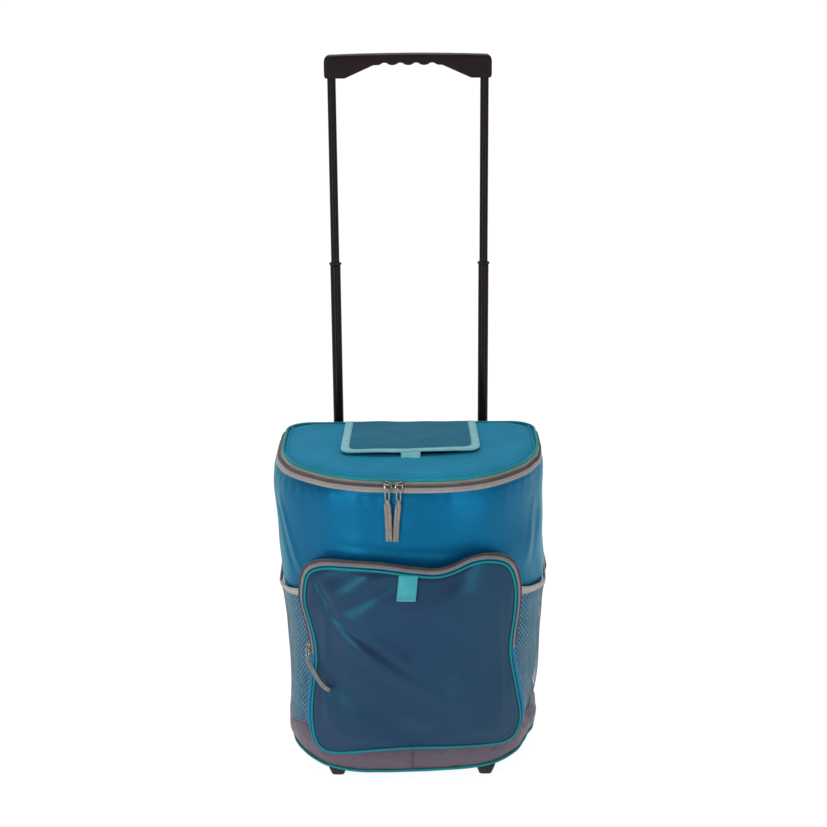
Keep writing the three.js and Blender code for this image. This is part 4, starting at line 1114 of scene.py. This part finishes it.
def drop_back_cap(panel):
    """Removes the large cap over the panel's outer ring, so that only its middle stays closed."""
    shape = bmesh.new()
    shape.from_mesh(panel.data)
    cap = max(shape.faces, key=lambda face: face.calc_area())
    bmesh.ops.delete(shape, geom=[cap], context="FACES_ONLY")
    shape.to_mesh(panel.data)
    shape.free()


def gusset_point(edge, out, share):
    """Points of the pocket's soft side wall, from the panel's edge (0) to the bag's front (1)."""
    spread = MM * 5.5 * math.sin(math.pi * min(1.0, share * 0.9 + 0.1)) + 2 * MM * share
    x = edge[:, 0] + out[:, 0] * spread
    z = edge[:, 1] + out[:, 1] * spread
    front = pocket_y(edge[:, 0])
    foot = body_front_y(x, z)
    return np.stack([x, front + (foot - front) * share, z], 1)


def push_out(line, out, distance):
    """Moves points away from the panel's outline by a distance, sideways and up or down."""
    line[:, 0] += out[:, 0] * distance
    line[:, 2] += out[:, 1] * distance
    return line


def body_front_y(x, z):
    """Depth of the bag's front surface at x and z."""
    s_table = np.linspace(length_at_angle(88, 1), length_at_angle(88, -1), 700)
    half_step = 0.5 * MM
    y = np.empty_like(x)
    for level in np.unique(np.round(z, 3)):
        near = np.abs(z - level) <= half_step + 1e-9
        row = on_body(s_table, level)
        order = np.argsort(row[:, 0])
        y[near] = np.interp(x[near], row[order, 0], row[order, 1])
    return y


def build_pocket_gusset():
    count = 260
    edge, out = pocket_edge(count)
    run = np.linspace(0, 1.1, count)
    rings = []
    for share in np.linspace(0.02, 1, 16):
        sag = ripple(run, np.full(count, share * 0.03), 45 * MM, 51) * 0.7 * MM * share
        rings.append(push_out(gusset_point(edge, out, share), out, sag))
    gusset = lattice("pocket_gusset_cloth", np.array(rings), "gusset_blue", ROOT, close_columns=True)
    thicken(gusset, 1.0 * MM, 0.0)
    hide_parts("pocket_gusset")


def zip_span(edge, out):
    """The part of the panel's edge that the pocket's zipper runs along, from its lower left end."""
    left = edge[:, 0] < edge[:, 0].mean()
    zipped = edge[:, 1] > np.where(left, POCKET_ZIP_LOW["left"], POCKET_ZIP_LOW["right"])
    begin = int(np.flatnonzero(zipped & ~np.roll(zipped, 1))[0])
    order = (np.arange(len(edge)) + begin) % len(edge)
    keep = order[zipped[order]]
    return edge[keep], out[keep]


def build_pocket_zipper():
    edge, out = zip_span(*pocket_edge(520))

    def tape_line(share, lift=0.0):
        """The tape's line at a share of the side wall's depth, lift above the tape."""
        return push_out(gusset_point(edge, out, share), out, 1.3 * MM + lift)

    rows = [tape_line(share) for share in np.linspace(0.03, 0.42, 10)]
    tape = lattice("pocket_zip_cloth", np.array(rows), "pocket_zip", ROOT)
    thicken(tape, 0.7 * MM, 0.0)
    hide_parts("pocket_zip_tape")
    up = np.column_stack([out[:, 0], np.full(len(out), -0.15), out[:, 1]])
    for name, share, start in (("front", 0.22, 0), ("back", 0.28, math.pi)):
        coil(f"pocket_zip_coil_{name}", tape_line(share, 1.0 * MM), up, "zip_coil", ROOT, start=start)
    for name, share in (("front", 0.08), ("back", 0.40)):
        stitches(f"pocket_zip_stitching_{name}", tape_line(share, 0.45 * MM), up, "thread_grey", ROOT,
                 radius=0.26 * MM)


def build_pocket_tab():
    low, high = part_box("pocket_tab")
    middle = (low.x + high.x) / 2 - 2 * MM
    across = np.linspace(-1, 1, 16)[None, :]
    down = np.linspace(0, 1, 26)[:, None]
    half = (high.x - low.x) / 2 * 0.96
    top = 303 * MM
    z = top - 30 * MM * down + 0 * across
    x = middle + across * half + 0 * down - 3.2 * MM * down
    curl = 1.6 * MM * np.sin(math.pi * down) + 2.2 * MM * smooth((down - 0.75) / 0.25)
    y = pocket_y(x, panel_crown(x, z, top - z + 0.5 * MM)) - 0.9 * MM - curl
    piece = lattice("pocket_tab_tape", np.stack([x, y, z], -1), "pocket_tab", ROOT)
    thicken(piece, 1.3 * MM, 0.0)
    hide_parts("pocket_tab")
    line = np.linspace(x[-3, 1], x[-3, -2], 30)
    depth = np.interp(line, x[-3], y[-3]) - 0.8 * MM
    seam = np.column_stack([line, depth, np.full(30, z[-3, 0])])
    stitches("pocket_tab_stitching", seam, (0, -1, 0), "thread_grey", ROOT, 1.8 * MM)


def build_pocket_slider():
    centre = middle_of("pocket_slider")
    edge, out = zip_span(*pocket_edge(520))
    nearest = int(np.argmin(np.abs(edge[:60, 1] - (centre.z - 1 * MM))))
    line = gusset_point(edge, out, 0.29)
    origin = line[nearest] + np.array([out[nearest, 0], 0, out[nearest, 1]]) * 2.2 * MM
    along = line[nearest + 4] - line[nearest]
    place = Place(origin, along, (out[nearest, 0], -0.25, out[nearest, 1]))
    build_slider("pocket_zip_slider", place, "pocket_slider_body", "pocket_slider")
    pull_top = origin + np.array([-3.8 * MM, -4.0 * MM, -1.8 * MM])
    hang = Place(pull_top, (0.12, 0.42, 1.0), (-0.6, -0.75, 0.1))
    build_slanted_pull("pocket_zip_pull", hang)


def build_slanted_pull(name, hang):
    """The pocket's pull: its link hangs beside the piping and its cord crosses onto the panel."""
    body = "pocket_pull_body"
    build_link(name, hang, body, "pocket_pull", 2.2 * MM, -6 * MM, 6.8 * MM)
    start = hang.origin - 11.5 * MM * hang.along
    drops = [(0, 0, 0), (1.2, -6.5, -4.5), (6.2, -12.5, -10.5), (13.5, -18.5, -22), (20.9, -23, -29.3),
             (27.2, -26, -31.6)]
    spine = curve_through(start + np.array(drops) * MM, 60)
    up = (0.3, -1, 0.2)
    side, _ = frames_along(spine, up=up)
    spread = 1.15 * MM * smooth(np.linspace(0, 1, 60) / 0.12)[:, None]
    radii = 1.35 * MM * (1 + 0.05 * np.sin(np.linspace(0, 34, 60)))
    for suffix, strand in (("left", -1), ("right", 1)):
        tube(f"{name}_cord_{suffix}", spine + side * spread * strand, radii, "cord_grey", body, 12, up=up)


# ---------------------------------------------------------------- mesh side pockets
NET_TOP = profile([(28, 251), (36, 248), (60, 242), (90, 235.5), (150, 238)])  # mm, by degrees from the front
NET_SPAN = (31, 134)  # degrees from the front


def net_base(degrees):
    """Height where the net is sewn to the base band."""
    return (BAND_TOP(degrees) - 2) * MM
NET_CELL = 3.3 * MM


def net_offset(degrees, z):
    """How far the net stands off the body: held at its side seams and base, slack between."""
    share = (degrees - NET_SPAN[0]) / (NET_SPAN[1] - NET_SPAN[0])
    across = np.clip(np.minimum(share, 1 - share) * 5, 0, 1)
    rise = np.clip((z - net_base(degrees)) / (30 * MM), 0, 1)
    return 0.9 * MM + 3.8 * MM * np.sqrt(across) * (0.45 + 0.55 * smooth(rise))


def facing_table(side):
    """Length along the outline by distance round the pocket, and the degrees it faces."""
    degrees = np.linspace(*NET_SPAN, 120)
    lengths = np.array([length_at_angle(value, side) for value in degrees])
    return degrees, lengths


def build_net(side_name, side):
    """The net's slanting strands, two crossing sets, each following the bag's surface."""
    degrees, lengths = facing_table(side)
    run = np.abs(lengths - lengths[0])
    rows = int(170 * MM / NET_CELL)
    columns = int(run[-1] / NET_CELL)
    starts, ends = [], []
    for column in range(columns):
        for row in range(rows):
            u, v = column * NET_CELL, row / rows
            step = 1 if (column + row) % 2 else -1
            corner = u if step > 0 else u + NET_CELL
            starts.append((corner, v))
            ends.append((corner + step * NET_CELL, v + 1 / rows))

    def place(points):
        """The net's points at distances round the bag and shares of its height."""
        u, v = np.array(points).T
        u = np.clip(u, 0, run[-1])
        angle = np.interp(u, run, degrees)
        s = np.interp(u, run, lengths)
        low = net_base(angle)
        z = low + (NET_TOP(angle) * MM - low) * v
        return on_body(s, z, net_offset(angle, z)), outward(s)

    a, normal = place(starts)
    b, _ = place(ends)
    across = np.cross(unit(b - a), normal) * 0.25 * MM
    lift = normal * 0.2 * MM
    corners = np.stack([across + lift, lift - across, -across - lift, across - lift], 1)
    vertices = np.stack([a[:, None] + corners, b[:, None] + corners], 1).reshape(-1, 3)
    faces = []
    for first in range(0, len(vertices), 8):
        for k in range(4):
            k2 = (k + 1) % 4
            faces.append((first + k, first + k2, first + 4 + k2, first + 4 + k))
    net = add_piece(f"net_{side_name}", vertices, faces, "mesh_grey", ROOT)
    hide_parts(f"mesh_pocket_{side_name}")


def build_net_binding(side_name, side):
    degrees, lengths = facing_table(side)
    top = NET_TOP(degrees) * MM
    low_edge = top - 1.5 * MM
    section = [(0.0, -0.6), (0.0, 0.7), (0.15, 1.1), (0.5, 1.25), (0.85, 1.1), (1.0, 0.7), (1.0, -0.6),
               (0.5, -0.9)]
    height = (8.2 + 2.6 * smooth((62 - degrees) / 25)) * MM
    rings = []
    for share, out in section:
        z = low_edge + height * share
        gather = ripple(lengths, z * 0.5, 9 * MM, 61) * 0.25 * MM
        rings.append(on_body(lengths, z, net_offset(degrees, top) + out * MM + gather))
    binding = lattice(f"net_binding_{side_name}", np.array(rings), "elastic_grey", ROOT, close_rows=True)
    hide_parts(f"mesh_binding_{side_name}")
    for name, share in (("low", 0.22), ("high", 0.78)):
        line = on_body(lengths, low_edge + height * share, net_offset(degrees, top) + 1.35 * MM)
        stitches(f"net_binding_stitching_{side_name}_{name}", line, outward(lengths), "thread_grey", ROOT,
                 radius=0.24 * MM)
    back = NET_SPAN[1]
    s = length_at_angle(back, side)
    path = on_body(s, np.linspace(net_base(back), NET_TOP(back) * MM + 5 * MM, 60), 1.2 * MM)
    tube(f"net_edge_{side_name}_back", path, 1.5 * MM, "elastic_grey", ROOT, 8, up=outward(s))


# ---------------------------------------------------------------- telescopic handle
def build_tubes():
    sizes = [
        ("upper", 5.45, 1.0, "upper_stage"),
        ("middle", 6.8, 1.1, "middle_stage"),
        ("outer", 8.4, 1.2, ROOT),
    ]
    ease = 0.3 * MM
    for stage, radius, wall, body in sizes:
        for side in ("left", "right"):
            node = f"{stage}_tube_{side}"
            low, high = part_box(node)
            centre = (middle_of(node).x, TUBE_Y, 0)
            outer, bore = radius * MM, (radius - wall) * MM
            corners = [(bore, low.z), (outer - ease, low.z), (outer, low.z + ease)]
            corners += [(outer, z) for z in np.linspace(low.z + 2 * MM, high.z - 2 * MM, 12)]
            corners += [(outer, high.z - ease), (outer - ease, high.z), (bore, high.z)]
            piece = turned(f"{stage}_tube_{side}_drawn", corners, "tube_black", body, centre, "Z", 56)
            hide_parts(node)


def build_collars():
    middle = [(5.8, 0), (7.0, 0), (7.9, 0.5), (8.1, 1.2), (8.0, 2.2), (7.2, 3.0), (6.2, 3.4), (5.8, 3.4)]
    outer = [(7.2, 10.3), (8.8, 10.3), (8.8, 0), (9.6, 0), (9.9, 0.6), (9.9, 10.8), (9.4, 12.2), (8.2, 13),
             (7.2, 13)]
    for stage, corners, body in (("middle", middle, "middle_stage"), ("outer", outer, ROOT)):
        for side in ("left", "right"):
            node = f"{stage}_collar_{side}"
            centre = (middle_of(node).x, TUBE_Y, low_of(node).z)
            points = np.array(corners) * MM
            piece = turned(f"{node}_moulded", points, "plastic_black", body, centre, "Z", 56)
            ease_edges(piece, 0.25 * MM)
            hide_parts(node)


def grip_section(x):
    """Top and bottom of the grip at x: crowned top, square ends, sloping shoulders, four finger arches."""
    low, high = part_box("grip")
    at = abs(x)
    top = high.z - 2.2 * MM * (at / high.x) ** 2
    underside = low.z + 17 * MM
    end_inner, slope_inner = high.x - 26 * MM, high.x - 62.5 * MM
    arches = sum(bump(x, centre * MM, 4.6 * MM) for centre in (-29.4, -9.5, 10.6, 30.7))
    bottom = underside + 2.9 * MM * min(1.0, float(arches) * 1.25)
    slope = (at - slope_inner) / (end_inner - slope_inner)
    bottom -= (underside - low.z - 1 * MM) * float(np.clip(slope, 0, 1))
    return top - rounded_end(at, high.x, 7 * MM), bottom + rounded_end(at, high.x, 3 * MM)


def build_lock_buttons():
    turns = full_turn(32)
    across, along = np.cos(turns) * MM, np.sin(turns) * MM
    levels = [(2.4, -0.4), (2.4, 1.1), (2.2, 1.6), (1.7, 2.0), (1.0, 2.25), (0.3, 2.32)]
    for stage, carrier, turn in (("upper", 6.8 * MM, math.radians(-18)), ("lower", 8.4 * MM, math.pi)):
        node = f"{stage}_lock_button"
        out = (math.sin(turn), -math.cos(turn), 0)
        place = Place((TUBE_X, TUBE_Y, middle_of(node).z), (0, 0, 1), out)
        rings = [place.at(r * across, r * along, carrier + level * MM) for r, level in levels]
        piece = lattice(f"{node}_domed", np.array(rings), "plastic_black", f"{stage}_lock",
                        close_columns=True, caps=True)
        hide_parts(node)


def build_grip():
    low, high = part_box("grip")
    half_depth = (high.y - low.y) / 2
    corner_radius = 4.2 * MM
    end = np.linspace(0.93, 1, 10)
    turns = full_turn(64)
    rings = []
    for x in np.concatenate([-end[::-1], np.linspace(-0.925, 0.925, 130), end]) * high.x:
        top, bottom = grip_section(x)
        half_height = max(0.2 * MM, (top - bottom) / 2)
        power = 2 + 1.6 / (corner_radius / max(half_height, corner_radius))
        reach = squarish(turns, power)
        depth = half_depth - rounded_end(abs(x), high.x, 4 * MM)
        y = TUBE_Y + reach * np.cos(turns) * depth
        z = (top + bottom) / 2 + reach * np.sin(turns) * half_height
        rings.append(np.column_stack([np.full(len(turns), x), y, z]))
    piece = lattice("grip_moulded", np.array(rings), "grip_black", "upper_stage", False, True, True)
    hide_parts("grip")


# ---------------------------------------------------------------- back, frame and wheels
def build_back_sleeve():
    low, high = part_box("back_sleeve")
    across = np.linspace(-1, 1, 120)[None, :]
    z = np.linspace(low.z, high.z, 60)[:, None]
    x = across * high.x + 0 * z
    over_tube = bump(np.abs(x), TUBE_X, 16 * MM)
    rise = smooth((1 - np.abs(across)) * 9) * (0.72 + 0.28 * over_tube)
    creases = ripple(x, z, 48 * MM, 71) * 0.9 * MM + ripple(x * 0.4, z, 20 * MM, 72) * 0.35 * MM
    y = low.y + 0.4 * MM + (high.y - low.y - 0.6 * MM) * rise + creases * rise
    points = np.stack([x, np.minimum(y, high.y + 1 * MM), z + 0 * x], -1)
    sleeve = lattice("back_sleeve_cloth", points, "body_blue", ROOT)
    thicken(sleeve, 1.1 * MM, 0.0)
    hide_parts("back_sleeve")
    for name, row in (("top", -1), ("bottom", 0)):
        path = points[row] + [0, 0.2 * MM, 0]
        tube(f"back_sleeve_hem_{name}", path, 1.5 * MM, "piping_teal", ROOT, 8)
    for name, column in (("left", 4), ("right", -5)):
        line = points[:, column] + [0, 0.8 * MM, 0]
        stitches(f"back_sleeve_stitching_{name}", line, (0, 1, 0), "thread_blue", ROOT)


def build_wheels():
    angles = full_turn(120)
    for side in ("left", "right"):
        body = f"wheel_{side}"
        low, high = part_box(f"wheel_tyre_{side}")
        centre = (low + high) / 2
        radius = (high.z - low.z) / 2
        rings = []
        for r, x in tyre_profile(radius, (high.x - low.x) / 2):
            groove = 0.7 * MM if abs(x) > 3 * MM and r > radius - 3 * MM else 0
            tread = r - groove * (0.5 + 0.5 * np.sign(np.sin(angles * 20)))
            rings.append(np.column_stack([np.full(120, x), tread * np.cos(angles), tread * np.sin(angles)]))
        tyre = lattice(f"tyre_{side}", np.array(rings) + np.array(centre), "tyre_black", body, True, True)
        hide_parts(f"wheel_tyre_{side}")
        build_hub(side, body, centre, radius)


def tyre_profile(radius, half):
    """(radius, distance from the wheel's middle) corners of the tyre's section."""
    shape = [(-8, 0.96), (-4.5, 1.0), (-2.2, 0.93), (-0.7, 0.72), (-0.1, 0.42), (0, 0.12), (-0.9, 0.07)]
    left = [(radius + drop * MM, -half * share) for drop, share in shape]
    return left + [(r, -x) for r, x in reversed(left)]


def build_hub(side, body, centre, radius):
    rim = radius / MM - 8.2
    corners = [(3.4, -12), (6.6, -12), (7.2, -10), (8.2, -3.5), (rim - 4, -3.2), (rim - 2.6, -10.2),
               (rim, -10.6)]
    section = np.array(corners + [(r, -x) for r, x in reversed(corners)]) * MM
    hub = turned(f"hub_{side}", section, "plastic_black", body, centre, "X", 72)
    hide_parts(f"wheel_hub_{side}")
    vertices, faces = [], []
    for angle in full_turn(6):
        first = len(vertices)
        direction = np.array([0, math.cos(angle), math.sin(angle)])
        across = np.array([0, -math.sin(angle), math.cos(angle)])
        for along, width, height in ((6.4, 2.2, 9.6), (10, 1.5, 8.4), (rim - 2.8, 2.0, 9.4)):
            for w, h in ((-1, -1), (1, -1), (1, 1), (-1, 1)):
                corner = direction * along + across * w * width + np.array([h * height, 0, 0])
                vertices.append(corner * MM + np.array(centre))
        for start in (first, first + 4):
            for k in range(4):
                k2 = (k + 1) % 4
                faces.append((start + k, start + k2, start + 4 + k2, start + 4 + k))
        faces += [tuple(first + k for k in range(4)), tuple(first + 8 + k for k in (3, 2, 1, 0))]
    spokes = add_piece(f"hub_spokes_{side}", vertices, faces, "plastic_black", body, flat=True)
    ease_edges(spokes, 0.5 * MM)


def build_feet():
    levels = [(0.0, 6.6), (0.5, 7.6), (1.6, 8.3), (4, 9.0), (8, 10.4), (13, 11.8), (15.6, 12.4), (17.2, 12.4)]
    height = levels[-1][0]
    turns = full_turn(48)
    for side, inward in (("left", 1 * MM), ("right", -3.5 * MM)):
        node = f"foot_{side}"
        centre = middle_of(node)
        rings = []
        for z, half in levels:
            reach = squarish(turns, 5) * half * MM
            x = centre.x + inward + reach * np.cos(turns)
            y = centre.y + 4 * MM * (1 - z / height) + reach * np.sin(turns) * 0.96
            rings.append(np.column_stack([x, y, np.full(len(turns), low_of(node).z + z * MM)]))
        foot = lattice(f"{node}_moulded", np.array(rings), "foot_black", ROOT, close_columns=True, caps=True)
        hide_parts(node)


def finish_cad_nodes():
    """Materials and eased edges for the CAD pieces that stay on show."""
    for entry in frame["record"]["subparts"]:
        node = frame["nodes"][entry["node"]]
        node.data.materials.clear()
        node.data.materials.append(LOOKS[entry["material_slot"]])
        if node.hide_render:
            continue
        if entry["node"].startswith(("corner_bracket", "base_runner", "handle_bracket", "back_board")):
            ease_edges(node, 1.2 * MM)
        if entry["node"].startswith("axle"):
            ease_edges(node, 0.4 * MM)


# ---------------------------------------------------------------- stage, lights and camera
CAMERA_PLACE = (7.25 * MM, -1.90481, 1.02474)
CAMERA_TURN, CAMERA_PITCH, CAMERA_ROLL = (math.radians(angle) for angle in (0.0933, 16.563, -0.4206))
CAMERA_LENS = 68.64


def build_stage():
    """A floor that curves up into a wall behind the bag."""
    front, back, width, wall, bend = -40.0, 4.0, 30.0, 9.0, 1.5
    section = [(front, 0.0), (back - bend, 0.0)]
    for angle in np.linspace(0, math.pi / 2, 14)[1:]:
        section.append((back - bend + bend * math.sin(angle), bend - bend * math.cos(angle)))
    section.append((back, wall))
    rows = [[(-width, y, z), (width, y, z)] for y, z in section]
    look = Look("pale_floor", (0.2, 0.2, 0.2, 1.0), 0.8, specular=0.0)
    look.shader.inputs["Emission Color"].default_value = (1, 1, 1, 1)
    look.shader.inputs["Emission Strength"].default_value = 0.93
    look.vary_roughness(look.noise(0.4, 3), 0.75, 0.9)
    LOOKS["pale_floor"] = look.material
    lattice("studio_floor", np.array(rows), "pale_floor", None)


def area_light(name, place, target, size, power):
    light = bpy.data.lights.new(name, "AREA")
    light.shape = "RECTANGLE"
    light.size, light.size_y = size
    light.energy = power
    lamp = bpy.data.objects.new(name, light)
    bpy.context.scene.collection.objects.link(lamp)
    lamp.location = place
    lamp.rotation_euler = (Vector(target) - Vector(place)).to_track_quat("-Z", "Y").to_euler()


def build_lights():
    world = bpy.data.worlds.new("studio")
    world.use_nodes = True
    background = world.node_tree.nodes["Background"]
    background.inputs["Color"].default_value = (1, 1, 1, 1)
    rays = world.node_tree.nodes.new("ShaderNodeLightPath")
    strength = world.node_tree.nodes.new("ShaderNodeMapRange")
    strength.inputs["To Min"].default_value = 0.14
    strength.inputs["To Max"].default_value = 1.1
    world.node_tree.links.new(rays.outputs["Is Camera Ray"], strength.inputs["Value"])
    world.node_tree.links.new(strength.outputs["Result"], background.inputs["Strength"])
    bpy.context.scene.world = world
    area_light("softbox_left", (-0.85, -1.2, 0.7), (0, 0, 0.35), (0.2, 1.6), 13)
    area_light("softbox_right", (0.85, -1.2, 0.7), (0, 0, 0.35), (0.2, 1.6), 9)
    area_light("top_softbox", (-0.1, 0.45, 2.2), (0, 0, 0.3), (1.1, 0.7), 20)


def build_camera():
    camera = bpy.data.cameras.new("photo_view")
    camera.sensor_width = 36
    camera.lens = CAMERA_LENS
    camera.clip_start = 0.05
    camera.clip_end = 60
    view = bpy.data.objects.new("photo_view", camera)
    bpy.context.scene.collection.objects.link(view)
    view.location = CAMERA_PLACE
    turn = Matrix.Rotation(CAMERA_TURN, 3, "Z")
    pitch = Matrix.Rotation(math.pi / 2 - CAMERA_PITCH, 3, "X")
    roll = Matrix.Rotation(CAMERA_ROLL, 3, "Z")
    view.rotation_euler = (turn @ pitch @ roll).to_euler()
    bpy.context.scene.camera = view


# ---------------------------------------------------------------- assembly
bpy.context.scene.view_settings.view_transform = "Standard"
build_camera()
build_lights()
build_stage()
build_body()
build_lining()
build_base()
build_lid()
build_lid_hinge_cloth()
build_lid_zipper()
build_lid_sliders()
build_hatch()
build_pocket_panel()
build_pocket_gusset()
build_pocket_zipper()
build_pocket_tab()
build_pocket_slider()
for side_name, side_sign in (("left", -1), ("right", 1)):
    build_net(side_name, side_sign)
    build_net_binding(side_name, side_sign)
build_tubes()
build_collars()
build_lock_buttons()
build_grip()
build_back_sleeve()
build_wheels()
build_feet()
finish_cad_nodes()
